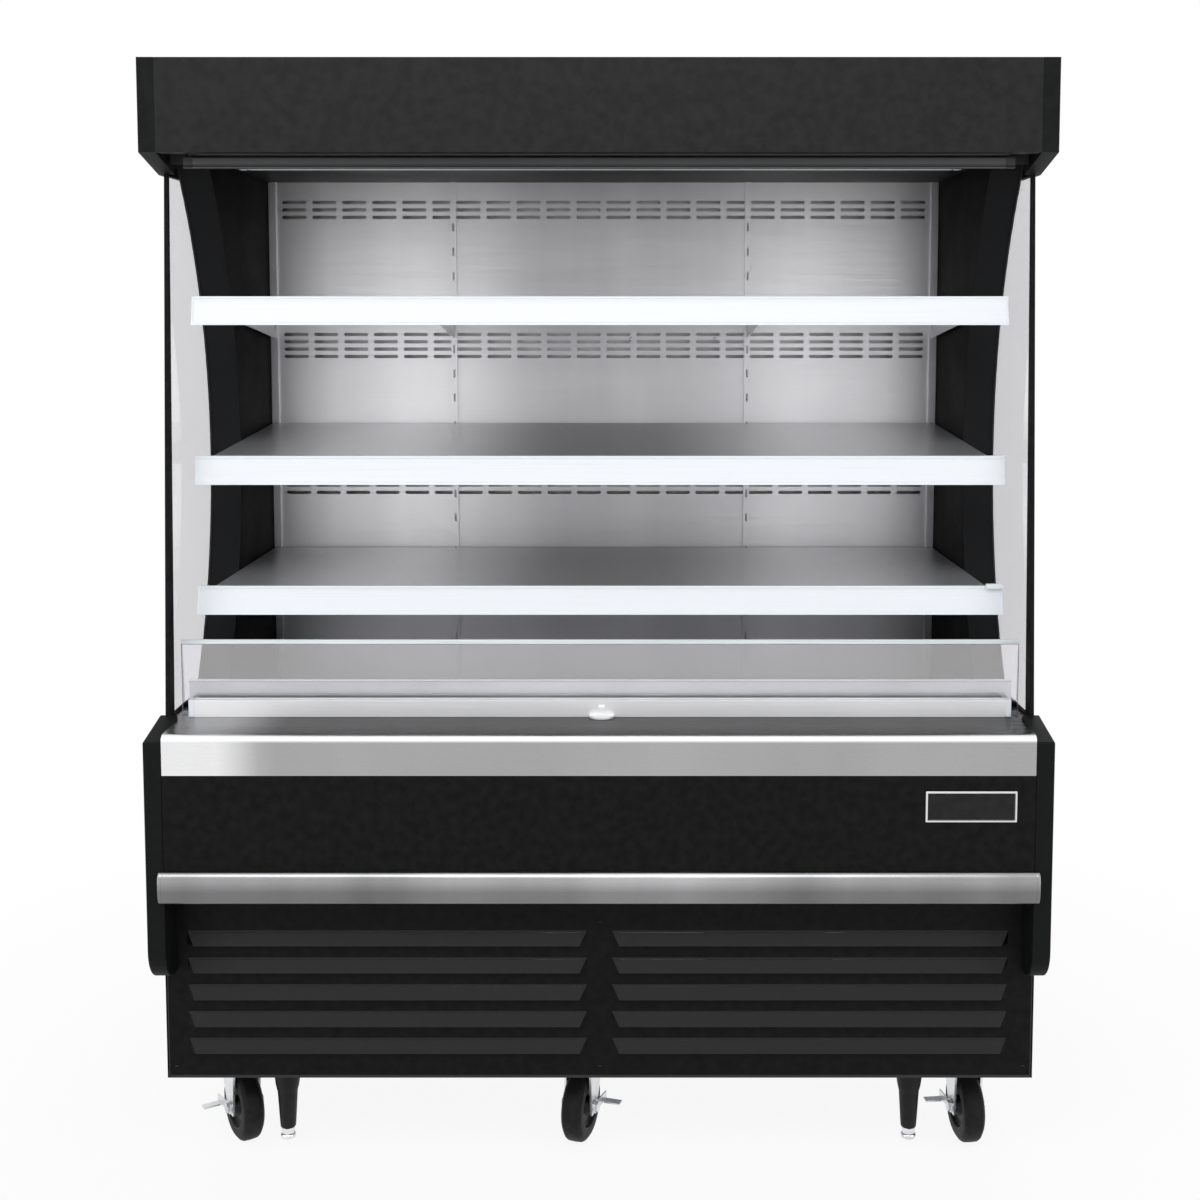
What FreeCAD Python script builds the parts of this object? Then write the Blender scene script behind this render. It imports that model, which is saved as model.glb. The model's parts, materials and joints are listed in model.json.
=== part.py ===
# Open multideck display fridge: a foamed C-shaped cabinet on casters with glass end windows,
# three shelves, a canopy with a night curtain, and a machine bay behind a louvred base panel.
# Millimetres. X to the right, Y to the back, Z up; the origin is on the floor, under the
# middle of the footprint. Sections are drawn in (y, z) and swept along X.
import FreeCAD, Part
import math
import os

V = FreeCAD.Vector
X_AXIS = V(1, 0, 0)
Y_AXIS = V(0, 1, 0)
Z_AXIS = V(0, 0, 1)

# ------------------------------------------------------------------ overall sizes and levels
overall_width = 1524.0          # over the moulded canopy and nose ends
overall_depth = 827.0           # bumper rail to rear skin
overall_height = 1918.0
base_z = 170.0                  # underside of the base frame
tank_z = 508.0                  # underside of the foamed tank
bumper_height = 56.0
sill_z = 796.0                  # top of the sill in front of the guard
sill_face_height = 69.0
deck_drop = 68.0                # bottom deck below the sill, down in the tank
ceiling_drop = 146.5            # inner ceiling below the roof sheet
canopy_height = 155.0

# ------------------------------------------------------------------ setbacks from the nose face
bumper_depth = 14.0
canopy_setback = 60.0           # canopy face behind the nose
base_setback = 68.0             # louvre panel behind the nose
frame_foot_setback = 106.0      # end frame's front edge at the sill
frame_top_setback = 175.0       # the same edge under the canopy
guard_setback = 146.0
riser_setback = 172.0
duct_depth = 58.0               # air duct between the duct panel and the rear wall

# ------------------------------------------------------------------ sheets, walls and glass
skin = 2.0
sheet = 1.5
wall = 61.0                     # side wall, skin's inner face to liner's inner face
rear_core = 53.5
top_core = 56.5
tank_floor = 52.0
tank_front_inner = 148.0        # nose face to the tank's inner front
end_overhang = 9.0              # moulded ends stand out from the side skins
nose_end = 31.0
canopy_end = 28.0
end_glass = 6.0
frame_thick = 6.0              # end frame behind the skin, across X
frame_foot_width = 30.0         # end frame, front to back, at the sill
frame_tip_width = 6.0           # and under the canopy
window_top_depth = 229.5
window_waist_depth = 426.5      # how far back the wall's curved edge goes, from the nose
window_waist_z = 1240.0
window_foot_depth = 287.5

# ------------------------------------------------------------------ nose, sill and guard
sill_round = 12.0
sill_depth = 170.0
nose_foot_drop = 145.0          # moulded nose ends reach this far below the tank
nose_foot_round = 60.0
nose_cheek = 9.0               # top of the nose end's sloping edge, above the sill
bumper_end_gap = 14.0           # bumper ends short of the side skins
channel_height = 30.0
channel_depth = 20.0
guard_end_gap = 8.5             # guard glass ends short of the end frames
channel_end_gap = 18.5          # channel ends short of the glass
guard_height = 131.0            # glass top above the sill
guard_glass = 6.0
guard_seat = 4.0                # bottom of the glass above the sill
hook_radius = 22.0
hook_plate = 5.0
hook_height = 22.0
hook_x = 3.0

# ------------------------------------------------------------------ air return, deck and duct
riser_height = 57.0             # above the sill
riser_end_gap = 9.0
grille_run = 78.0
grille_drop = 45.0
grille_slots = 42
grille_slot = 8.0
grille_slot_end = 12.0          # solid sheet before and after each slot
pans = 3
pan_lip = 18.0
slot_height = 7.0
slot_short = 38.0
slot_margin = 28.1              # side liner to the first slot
slot_gap = 11.8
slot_pitch_z = 15.2
slot_band_drop = (112.0, 145.5)         # lowest row of a band below the shelf above it
slot_band_rows = 4
slot_top_drop = 71.0                    # lowest row of the top band below the ceiling
slot_top_rows = 3
slot_columns = (6, 10, 6)       # slots in the left, middle and right panel
panel_seam = 1.0
upright_width = 12.0
upright_depth = 8.0
upright_wall = 1.5
upright_end_gap = 4.0
upright_pitch = 50.0
hook_slot_height = 16.0
hook_slot_width = 4.4
hook_slot_web = 14.0            # least metal between two hook slots

# ------------------------------------------------------------------ shelves
shelf_z = (1525.0, 1275.0, 1015.0)      # top of each shelf at its rear edge
shelf_tilt = (0.0, 3.3, 0.0)            # degrees, front edge down
shelf_setback = 186.0                   # front edge of the pans behind the nose
shelf_thick = 28.0
shelf_sheet = 2.0
shelf_side_gap = 4.0
shelf_rear_gap = 0.3
bracket_thick = 3.0
bracket_rear = 74.0
bracket_front = 24.0
bracket_short = 46.0            # bracket stops this far behind the shelf's front edge
tongue_reach = 5.0
tongue_height = 9.0
strip_overhang = 22.0           # strip runs past the side liners, into the window bays
strip_height = 47.0             # below the shelf top
strip_rise = 3.0
strip_lean = 10.0
strip_thick = 4.0
strip_cover = 5.0               # strip in front of the pan at its top

# ------------------------------------------------------------------ canopy and night curtain
canopy_flange = 30.0
roof_flange = 40.0
canopy_lap = 240.0              # moulded end, front to back
canopy_drop = 27.0              # moulded end below the fascia, at the end frame
divider_depth = 86.5            # canopy face to the divider behind the curtain
honeycomb_height = 18.0
honeycomb_depth = 62.0
honeycomb_columns = 46
honeycomb_rows = 3
honeycomb_web = 3.0
ceiling_lip = 20.0
light_end_gap = 50.0
light_depth = 30.0
light_height = 18.0
light_setback = 20.0
roller_depth = 40.0             # roller axis behind the canopy face
roller_drop = 73.0              # roller axis below the roof's top
roller_tube = 20.0
roller_wound = 26.5
roller_end_gap = 22.0           # tube's end to the moulded end's inner face
wound_inset = 15.0              # wound cloth short of the tube's end
journal = 6.0
bearing_boss = 14.0
bearing_depth = 10.0
end_float = 1.0
curtain_thick = 0.6
running = 0.05                  # radial clearance of journals and axles
air_gap = 0.3                   # clearance between pieces that pass each other
bar_overhang = 7.0              # pull bar past the cloth's edge
bar_depth = 20.0
bar_height = 22.0
bar_wall = 2.0
bar_tuck = 1.0                  # bar's top above the fascia's lower edge

# ------------------------------------------------------------------ base, casters and legs
louvre_inset = 3.0
louvre_top_gap = 2.0            # panel's top below the tank
louvre_foot_gap = 6.0           # panel's foot above the frame's underside
louvre_rows = 5
louvre_pitch = 48.0
louvre_first_drop = 71.0        # top edge of the highest hood below the panel's top
louvre_face = 24.0
louvre_stand = 11.0
louvre_taper = 13.0
louvre_margins = (35.0, 42.0)   # panel's end to the hoods, left and right
louvre_middle = (-22.0, 21.0)   # inner ends of the two groups
rail = 40.0
rail_wall = 2.0
tray_sheet = 3.0
front_caster_insets = (85.6, 93.1)     # kingpins inside the side skins, left and right
front_caster_middle = -27.2
rear_caster_end = 98.0
front_caster_setback = 215.0    # kingpin behind the nose
rear_caster_inset = 120.0
front_swivel = (33.0, -17.6, 6.5)
rear_swivel = (180.0, 180.0, 180.0)
caster_plate = (100.0, 84.0, 4.0)
race_radius = 26.0
race_height = 8.0
kingpin = 6.0
kingpin_length = 12.0
wheel_radius = 63.5
wheel_width = 38.0
wheel_shoulder = 6.0
wheel_side_gap = 3.0
trail = 31.0
fork_plate = 4.0
fork_front = 50.0               # crown plate ahead of and behind the kingpin
fork_back = 26.0
fork_foot_half = 13.0
axle = 6.0
axle_head = 9.0
axle_head_depth = 5.0
lever_plate = 3.0
lever_reach = 62.0
lever_drop = 8.0
lever_half = 8.0
lever_tab = 30.0
leg_spacing = (107.4, 107.9)     # legs inwards from the outer front kingpins
leg_setback = 140.0
leg_flange = 27.0
leg_shoulder_z = 114.0
leg_radius = 17.5
leg_foot_z = 46.0
foot_stem = 8.0
foot_radius = 13.5
foot_z = 26.0
foot_stem_top = 120.0

# ------------------------------------------------------------------ refrigeration set
compressor_x = 330.0
compressor_inset = 293.5        # axis in front of the rear face
compressor_radius = 96.0
compressor_height = 150.0
compressor_dome = 44.0
compressor_foot = (250.0, 170.0, 4.0)
mount_radius = 14.0
mount_height = 20.0
condenser_gap = 30.0            # to the right of the control box
condenser_length = 440.0
condenser_setback = 60.0        # behind the louvre panel
condenser_depth = 76.0
condenser_height = 262.0
coil_plate = 2.0
coil_tube = 5.0
coil_bend_reach = 14.0
coil_pitch = 38.0
fin_thick = 1.0
condenser_fin_pitch = 10.0
evaporator_fin_pitch = 20.0
shroud_depth = 40.0
condenser_fan_radius = 112.0
fan_tip_gap = 5.0
fan_hub = 22.0
fan_hub_depth = 24.0
fan_blades = 5
blade_fill = 0.55               # share of the rim that a blade covers
blade_thick = 2.0
blade_pitch_angle = 28.0
motor_radius = 34.0
motor_length = 58.0
motor_shaft = 4.0
motor_gap = 6.0
motor_arm = 12.0
motor_arm_foot = 6.0
control_inset = 51.0            # box inside the side skin's inner face
control_width = 110.0
control_depth = 230.0
control_height = 210.0
gland_radius = 13.0
gland_reach = 20.0
gland_height = 70.0             # above the frame's underside
evaporator_end_gap = 90.0
evaporator_depth = 250.0
evaporator_top_gap = 12.5       # below the deck pans' lips
evaporator_rear_gap = 30.0
coil_foot = 6.0
baffle_gap = 90.0               # in front of the evaporator
evaporator_fan_x = 300.0
evaporator_fan_radius = 60.0
vent_rows = 6
vent_pitch = 40.0
vent_first_height = 56.0        # lowest row above the frame's underside
vent_height = 12.0
vent_margin = 193.0             # vents inside the side skins
vent_columns = 7
vent_web = 30.0

# ------------------------------------------------------------------ planes worked out from the sizes
half_width = overall_width / 2
front_y = -overall_depth / 2
back_y = overall_depth / 2
nose_y = front_y + bumper_depth
canopy_y = nose_y + canopy_setback
base_y = nose_y + base_setback
canopy_z = overall_height - canopy_height
canopy_drop_z = canopy_z - canopy_drop
skin_x = half_width - end_overhang
core_x = skin_x - skin
liner_x = core_x - wall
frame_x = core_x - frame_thick
nose_end_x = half_width - nose_end
canopy_end_x = half_width - canopy_end
frame_foot_y = nose_y + frame_foot_setback
frame_top_y = nose_y + frame_top_setback
rear_core_y = back_y - sheet - rear_core
roof_z = overall_height - sheet
ceiling_z = roof_z - ceiling_drop
deck_z = sill_z - deck_drop
top_core_z = roof_z - top_core
tank_floor_z = tank_z + tank_floor
tank_inner_y = nose_y + tank_front_inner
panel_y = rear_core_y - duct_depth
riser_y = nose_y + riser_setback
sill_under_z = sill_z - sheet
grille_end_y = riser_y + sheet + grille_run
front_axle_z = wheel_radius
nose_foot_z = tank_z - nose_foot_drop
nose_cheek_z = sill_z + nose_cheek
riser_top_z = sill_z + riser_height
bumper_half_length = skin_x - bumper_end_gap
front_casters = (front_caster_insets[0] - skin_x, front_caster_middle, skin_x - front_caster_insets[1])
rear_casters = (rear_caster_end - skin_x, 0.0, skin_x - rear_caster_end)
leg_x = (front_casters[0] + leg_spacing[0], front_casters[2] - leg_spacing[1])
control_x = (control_inset - core_x, control_inset + control_width - core_x)
condenser_x = (control_x[1] + condenser_gap, control_x[1] + condenser_gap + condenser_length)
compressor_y = back_y - compressor_inset
gland_z = base_z + gland_height

os.makedirs("parts", exist_ok=True)


# ------------------------------------------------------------------ drawing helpers
def box(x0, x1, y0, y1, z0, z1):
    return Part.makeBox(x1 - x0, y1 - y0, z1 - z0, V(x0, y0, z0))


def rod(radius, start, axis, length):
    return Part.makeCylinder(radius, length, V(*start), axis)


def sweep_x(points, x0, x1):
    """Extrude the closed (y, z) outline from x0 to x1."""
    corners = [V(x0, y, z) for y, z in points]
    outline = Part.makePolygon(corners + corners[:1])
    return Part.Face(outline).extrude(V(x1 - x0, 0, 0))


def sweep_z(points, z0, z1):
    """Extrude the closed (x, y) outline from z0 to z1."""
    corners = [V(x, y, z0) for x, y in points]
    outline = Part.makePolygon(corners + corners[:1])
    return Part.Face(outline).extrude(V(0, 0, z1 - z0))


def join(shapes):
    shapes = list(shapes)
    return shapes[0].fuse(shapes[1:]).removeSplitter() if len(shapes) > 1 else shapes[0]


def cut(shape, tools):
    tools = list(tools)
    return shape.cut(tools) if tools else shape


def mirrored(shape):
    return shape.mirror(V(0, 0, 0), X_AXIS)


def pair(shape):
    return [shape, mirrored(shape)]


def save(node, shapes):
    """Write one node; its solids stay separate."""
    solids = [solid for shape in shapes for solid in shape.Solids]
    body = solids[0] if len(solids) == 1 else Part.makeCompound(solids)
    body.exportStep("parts/%s.step" % node)


def frame_edge_y(z):
    """Front edge of the end frame at height z, leaning back towards the canopy."""
    share = (z - nose_cheek_z) / (canopy_z - nose_cheek_z)
    return frame_foot_y + max(0.0, share) * (frame_top_y - frame_foot_y)


# ------------------------------------------------------------------ side walls, skins and end glass
def curved_edge(shift, x):
    """The side wall's hollow front edge, from the sill up to the canopy."""
    foot = V(x, nose_y + window_foot_depth + shift, sill_under_z)
    waist = V(x, nose_y + window_waist_depth + shift, window_waist_z)
    top = V(x, nose_y + window_top_depth + shift, canopy_z)
    return Part.Arc(foot, waist, top).toShape(), foot, top


def wall_slab(shift, x0, x1):
    """Side wall between two X planes; shift moves its curved edge back."""
    arc, foot, top = curved_edge(shift, x0)
    path = [V(x0, top.y, canopy_z), V(x0, frame_top_y, canopy_z), V(x0, frame_top_y, roof_z)]
    path += [V(x0, rear_core_y, roof_z), V(x0, rear_core_y, tank_z), V(x0, frame_foot_y, tank_z)]
    path += [V(x0, frame_foot_y, sill_under_z), V(x0, foot.y, sill_under_z)]
    edges = [Part.makeLine(a, b) for a, b in zip(path, path[1:])]
    face = Part.Face(Part.Wire([arc] + edges))
    return face.extrude(V(x1 - x0, 0, 0))


def end_window(x0, x1):
    """The clear window between the end frame and the wall's curved edge."""
    arc, foot, top = curved_edge(0.0, x0)
    inner = [V(x0, top.y, canopy_z), V(x0, frame_top_y + frame_tip_width, canopy_z)]
    inner += [V(x0, frame_foot_y + frame_foot_width, nose_cheek_z)]
    inner += [V(x0, frame_foot_y + frame_foot_width, sill_under_z), V(x0, foot.y, sill_under_z)]
    edges = [Part.makeLine(a, b) for a, b in zip(inner, inner[1:])]
    return Part.Face(Part.Wire([arc] + edges)).extrude(V(x1 - x0, 0, 0))


def side_skin():
    outline = [(back_y, base_z), (back_y, overall_height), (frame_top_y, overall_height)]
    outline += [(frame_top_y, canopy_z), (frame_foot_y, nose_cheek_z), (frame_foot_y, tank_z)]
    outline += [(base_y, tank_z), (base_y, base_z)]
    plate = sweep_x(outline, core_x, skin_x).cut(end_window(core_x, skin_x))
    bar = [(frame_foot_y, sill_under_z), (frame_foot_y, nose_cheek_z), (frame_top_y, canopy_z)]
    bar += [(frame_top_y + frame_tip_width, canopy_z), (frame_foot_y + frame_foot_width, nose_cheek_z)]
    bar += [(frame_foot_y + frame_foot_width, sill_under_z)]
    return join([plate, sweep_x(bar, frame_x, core_x)])


def side_liner():
    lining = wall_slab(0.0, liner_x, liner_x + sheet)
    edge = wall_slab(0.0, liner_x + sheet, core_x).cut(wall_slab(sheet, liner_x + sheet, core_x))
    ledge = box(liner_x, frame_x, nose_y + sill_depth, nose_y + window_foot_depth + sheet, sill_under_z, sill_z)
    return join([lining, edge, ledge])


save("side_skins", pair(side_skin()))
save("side_glass", pair(end_window(skin_x - end_glass, skin_x)))
save("side_liners", pair(side_liner()))

side_core = wall_slab(sheet, liner_x + sheet, core_x)
rear_slab = box(-core_x, core_x, rear_core_y, back_y - sheet, tank_z, roof_z)
top_slab = box(-liner_x, liner_x, frame_top_y, rear_core_y, top_core_z, roof_z)
save("wall_core", pair(side_core) + [rear_slab, top_slab])


# ------------------------------------------------------------------ rear skin with vents
def rear_skin():
    back = box(-core_x, core_x, back_y - sheet, back_y, base_z, roof_z)
    vent_half_length = skin_x - vent_margin
    step = 2 * vent_half_length / vent_columns
    y0 = back_y - 2 * sheet
    slots = []
    for row in range(vent_rows):
        z = base_z + vent_first_height + row * vent_pitch
        for column in range(vent_columns):
            x = -vent_half_length + column * step
            slots.append(box(x, x + step - vent_web, y0, back_y + sheet, z, z + vent_height))
    hole = rod(gland_radius, (sum(control_x) / 2, y0, gland_z), Y_AXIS, 3 * sheet)
    return cut(back, slots + [hole])


save("rear_skin", [rear_skin()])


# ------------------------------------------------------------------ foamed tank and its liner
def sill_outline(inset):
    """Closed nose section: front face, rounded sill edge, top and rear, drawn inset by a sheet."""
    face_y = nose_y + inset
    top_z = sill_z - inset
    radius = sill_round - inset
    low_z = sill_z - sill_face_height
    far_y = nose_y + sill_depth
    middle = V(0, face_y + radius * (1 - math.cos(math.pi / 4)), top_z - radius * (1 - math.sin(math.pi / 4)))
    bend = Part.Arc(V(0, face_y, top_z - radius), middle, V(0, face_y + radius, top_z)).toShape()
    path = [V(0, face_y + radius, top_z), V(0, far_y, top_z), V(0, far_y, low_z), V(0, face_y, low_z)]
    path.append(V(0, face_y, top_z - radius))
    edges = [Part.makeLine(a, b) for a, b in zip(path, path[1:])]
    return Part.Face(Part.Wire([bend] + edges))


def sill_cap():
    """Folded sheet: stainless face, rounded edge and top, running in under the guard."""
    solid = sill_outline(0.0).extrude(V(2 * frame_x, 0, 0))
    inner = sill_outline(sheet).extrude(V(2 * frame_x, 0, 0))
    far_y = nose_y + sill_depth
    gap = box(0, 2 * frame_x, nose_y + sheet, far_y + sheet, sill_z - 2 * sill_face_height,
              sill_under_z - sill_round)
    cap = solid.cut([inner, gap])
    cap.translate(V(-frame_x, 0, 0))
    ends = pair(box(nose_end_x, frame_x + sheet, nose_y - sheet, frame_foot_y, tank_z, sill_z + sheet))
    return cut(cap, ends)


def tank_front():
    """Foam behind the nose: wide in front of the end frames, narrower between the liners."""
    head = sill_outline(sheet).extrude(V(2 * nose_end_x, 0, 0))
    head.translate(V(-nose_end_x, 0, 0))
    low = box(-nose_end_x, nose_end_x, nose_y + sheet, tank_inner_y, tank_z, sill_under_z - sill_round)
    rear_trim = box(-nose_end_x, nose_end_x, tank_inner_y, back_y, tank_z, sill_z)
    block = join([head, low]).cut(rear_trim)
    return cut(block, pair(box(liner_x, half_width, frame_foot_y, back_y, tank_z, sill_z)))


save("sill_cap", [sill_cap()])
tank_base = box(-liner_x, liner_x, tank_inner_y, rear_core_y, tank_z, tank_floor_z)
save("tank_core", [tank_front(), tank_base])

liner_front = box(-liner_x, liner_x, tank_inner_y, tank_inner_y + sheet, tank_floor_z, sill_under_z)
liner_floor = box(-liner_x, liner_x, tank_inner_y, rear_core_y, tank_floor_z, tank_floor_z + sheet)
liner_rear = box(-liner_x, liner_x, rear_core_y - sheet, rear_core_y, tank_floor_z, top_core_z)
save("tank_liner", [join([liner_front, liner_floor, liner_rear])])


# ------------------------------------------------------------------ nose: ends, panel and bumper
def nose_end_piece():
    """Moulded end cheek with a rounded foot and a sloping top that meets the end frame."""
    foot_z = nose_foot_z + nose_foot_round
    centre_y = nose_y + nose_foot_round
    diagonal = nose_foot_round * math.sqrt(0.5)
    points = [(centre_y, nose_foot_z), (base_y, nose_foot_z), (base_y, tank_z)]
    points += [(frame_foot_y, tank_z), (frame_foot_y, nose_cheek_z), (nose_y, sill_z - sill_round)]
    points += [(nose_y, foot_z)]
    corners = [V(nose_end_x, y, z) for y, z in points]
    edges = [Part.makeLine(a, b) for a, b in zip(corners, corners[1:])]
    middle = V(nose_end_x, centre_y - diagonal, foot_z - diagonal)
    edges.append(Part.Arc(corners[-1], middle, corners[0]).toShape())
    return Part.Face(Part.Wire(edges)).extrude(V(nose_end, 0, 0))


sill_face_z = sill_z - sill_face_height
save("nose_ends", pair(nose_end_piece()))
save("front_panel", [box(-nose_end_x, nose_end_x, nose_y, nose_y + sheet, tank_z, sill_face_z)])


def bumper_rail():
    """Half-round stainless rail, hollow against the nose."""
    low = V(-bumper_half_length, nose_y, tank_z)
    high = V(-bumper_half_length, nose_y, tank_z + bumper_height)
    crest = V(-bumper_half_length, front_y, tank_z + bumper_height / 2)
    shell = Part.Face(Part.Wire([Part.Arc(low, crest, high).toShape(), Part.makeLine(high, low)]))
    rail_solid = shell.extrude(V(2 * bumper_half_length, 0, 0))
    inner = [V(-bumper_half_length, nose_y, tank_z + 2 * sheet)]
    inner.append(V(-bumper_half_length, front_y + sheet, tank_z + bumper_height / 2))
    inner.append(V(-bumper_half_length, nose_y, tank_z + bumper_height - 2 * sheet))
    hollow = Part.Face(Part.Wire([Part.Arc(*inner).toShape(), Part.makeLine(inner[2], inner[0])]))
    return rail_solid.cut(hollow.extrude(V(2 * bumper_half_length, 0, 0)))


save("bumper_rail", [bumper_rail()])

# ------------------------------------------------------------------ guard glass, channel and hook
guard_y = nose_y + guard_setback
guard_half = frame_x - guard_end_gap
channel_half = guard_half - channel_end_gap
glass_y = guard_y + (channel_depth - guard_glass) / 2
channel = box(-channel_half, channel_half, guard_y, guard_y + channel_depth, sill_z, sill_z + channel_height)
groove = box(-guard_half, guard_half, glass_y, glass_y + guard_glass, sill_z + guard_seat,
             sill_z + channel_height)
hook_base = rod(hook_radius, (hook_x, guard_y, sill_z), Z_AXIS, hook_plate)
hook_base = hook_base.cut(box(-half_width, half_width, guard_y, back_y, sill_z, sill_z + hook_plate))
hook_blade = box(hook_x - hook_radius / 2, hook_x + hook_radius / 2, guard_y - hook_plate, guard_y,
                 sill_z, sill_z + hook_height)
save("guard_channel", [channel.cut(groove), join([hook_base, hook_blade])])
save("guard_glass", [box(-guard_half, guard_half, glass_y, glass_y + guard_glass, sill_z + guard_seat,
                         sill_z + guard_height)])


# ------------------------------------------------------------------ air return grille and deck pans
def return_grille():
    """Folded sheet: upright riser, slotted slope, and a drop to the deck pans."""
    outer = [(riser_y, sill_z), (riser_y, riser_top_z), (riser_y + sheet, riser_top_z)]
    outer += [(grille_end_y, riser_top_z - grille_drop), (grille_end_y, deck_z)]
    inner = [(grille_end_y - sheet, deck_z), (grille_end_y - sheet, riser_top_z - grille_drop - sheet)]
    inner += [(riser_y + sheet, riser_top_z - 2 * sheet), (riser_y + sheet, sill_z)]
    body = sweep_x(outer + inner, -liner_x, liner_x)
    wide = guard_half - riser_end_gap
    wings = box(-wide, wide, riser_y, riser_y + sheet, sill_z, riser_top_z)
    pitch = 2 * liner_x / grille_slots
    slots = []
    for number in range(grille_slots):
        x = -liner_x + (number + 0.5) * pitch
        slots.append(box(x - grille_slot / 2, x + grille_slot / 2, riser_y + sheet + grille_slot_end,
                         grille_end_y - grille_slot_end, deck_z, riser_top_z))
    return cut(join([body, wings]), slots)


save("return_grille", [return_grille()])


def deck_pan(number):
    span = 2 * liner_x / pans
    x0 = -liner_x + number * span + panel_seam / 2
    x1 = x0 + span - panel_seam
    plate = box(x0, x1, grille_end_y, panel_y, deck_z - sheet, deck_z)
    front_lip = box(x0, x1, grille_end_y, grille_end_y + sheet, deck_z - pan_lip, deck_z)
    rear_lip = box(x0, x1, panel_y - sheet, panel_y, deck_z - pan_lip, deck_z)
    return join([plate, front_lip, rear_lip])


save("deck_pans", [deck_pan(number) for number in range(pans)])


# ------------------------------------------------------------------ perforated duct panel and uprights
def slot_cut(x, z, length):
    """Round-ended slot through the duct panel."""
    radius = slot_height / 2
    y = panel_y - sheet
    middle = box(x + radius, x + length - radius, y, y + 3 * sheet, z - radius, z + radius)
    ends = [rod(radius, (x + radius, y, z), Y_AXIS, 3 * sheet)]
    ends.append(rod(radius, (x + length - radius, y, z), Y_AXIS, 3 * sheet))
    return join([middle] + ends)


def slot_lengths():
    """Slots from left to right: the left and middle panels end in a short one."""
    count = sum(slot_columns)
    short_ends = len(slot_columns) - 1
    room = 2 * (liner_x - slot_margin) - slot_gap * (count - 1) - slot_short * short_ends
    slot_long = room / (count - short_ends)
    lengths = []
    for panel, count in enumerate(slot_columns):
        short = panel < short_ends
        lengths += [slot_long] * (count - 1) + [slot_short if short else slot_long]
    return lengths


def slot_bands():
    """Lowest row and number of rows of each band: one under each upper shelf, one under the ceiling."""
    bands = [(z - drop, slot_band_rows) for z, drop in zip(shelf_z, slot_band_drop)]
    return bands + [(ceiling_z - slot_top_drop, slot_top_rows)]


def duct_panels():
    """Three panels side by side, with the slot pattern centred over them."""
    lengths = slot_lengths()
    total = sum(lengths) + slot_gap * (len(lengths) - 1)
    starts = []
    x = -total / 2
    for length in lengths:
        starts.append(x)
        x += length + slot_gap
    first = 0
    left = -liner_x
    panels = []
    seams = []
    for count in slot_columns:
        last = first + count
        ends = last == len(lengths)
        right = liner_x if ends else starts[last] - slot_gap / 2
        panel = box(left + (panel_seam / 2 if first else 0.0), right - (0.0 if ends else panel_seam / 2),
                    panel_y, panel_y + sheet, deck_z - pan_lip, ceiling_z)
        cuts = []
        for low_z, rows in slot_bands():
            for row in range(rows):
                for column in range(first, last):
                    cuts.append(slot_cut(starts[column], low_z + row * slot_pitch_z, lengths[column]))
        panels.append(cut(panel, cuts))
        if not ends:
            seams.append(right)
        left = right
        first = last
    return panels, seams


panel_solids, panel_seams = duct_panels()
save("duct_panel", panel_solids)
upright_x = [-liner_x + upright_end_gap + upright_width / 2] + panel_seams
upright_x += [liner_x - upright_end_gap - upright_width / 2]
tongue_z = [z - tongue_height / 2 for z in shelf_z]


def shelf_upright(x):
    """Slotted channel on the duct panel; the shelf brackets hook into it."""
    front = panel_y - upright_depth
    half = upright_width / 2
    bar = box(x - half, x + half, front, panel_y, deck_z, ceiling_z)
    inside = box(x - half + upright_wall, x + half - upright_wall, front + upright_wall, panel_y,
                 deck_z, ceiling_z)
    slots = []
    shelf_slots = list(tongue_z)
    z = deck_z + upright_pitch
    while z < ceiling_z - upright_pitch:
        if min(abs(z - taken) for taken in tongue_z) > hook_slot_height + hook_slot_web:
            shelf_slots.append(z)
        z += upright_pitch
    for z in shelf_slots:
        slots.append(box(x - hook_slot_width / 2, x + hook_slot_width / 2, front - sheet,
                         front + 2 * upright_wall, z - hook_slot_height / 2, z + hook_slot_height / 2))
    return cut(bar, [inside] + slots)


save("shelf_uprights", [shelf_upright(x) for x in upright_x])


# ------------------------------------------------------------------ shelves with brackets and strips
hinge_y = panel_y - upright_depth - shelf_rear_gap
shelf_front_y = nose_y + shelf_setback
shelf_half = liner_x - shelf_side_gap


def shelf_pan(level):
    """Folded pan over four tapered brackets; the brackets' hook edge stays upright."""
    z = shelf_z[level]
    tilt = math.radians(shelf_tilt[level])
    top = box(-shelf_half, shelf_half, shelf_front_y, hinge_y, z - shelf_sheet, z)
    front = box(-shelf_half, shelf_half, shelf_front_y, shelf_front_y + shelf_sheet, z - shelf_thick, z)
    rear_y = hinge_y - shelf_thick
    rear = box(-shelf_half, shelf_half, rear_y - shelf_sheet, rear_y, z - shelf_thick, z)
    hems = pair(box(shelf_half - shelf_sheet, shelf_half, shelf_front_y, rear_y, z - shelf_thick, z))
    gaps = []
    for x in upright_x:
        gaps.append(box(x - bracket_thick, x + bracket_thick, rear_y - 2 * shelf_sheet, hinge_y,
                        z - shelf_thick - shelf_sheet, z - shelf_sheet))
    pan = cut(join([top, front, rear] + hems), gaps)
    pan.rotate(V(0, hinge_y, z), X_AXIS, math.degrees(tilt))
    run = hinge_y - shelf_front_y - bracket_short
    seat = z - shelf_sheet / math.cos(tilt)
    fall = run * math.tan(tilt)
    outline = [(hinge_y, seat), (hinge_y, z - bracket_rear)]
    outline += [(hinge_y - run, seat - fall - bracket_front), (hinge_y - run, seat - fall)]
    brackets = []
    for x in upright_x:
        plate = sweep_x(outline, x - bracket_thick / 2, x + bracket_thick / 2)
        tongue = box(x - bracket_thick / 2, x + bracket_thick / 2, hinge_y - sheet, hinge_y + tongue_reach,
                     z - shelf_sheet - tongue_height, z - shelf_sheet)
        brackets.append(join([plate, tongue]))
    return [pan] + brackets


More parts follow.
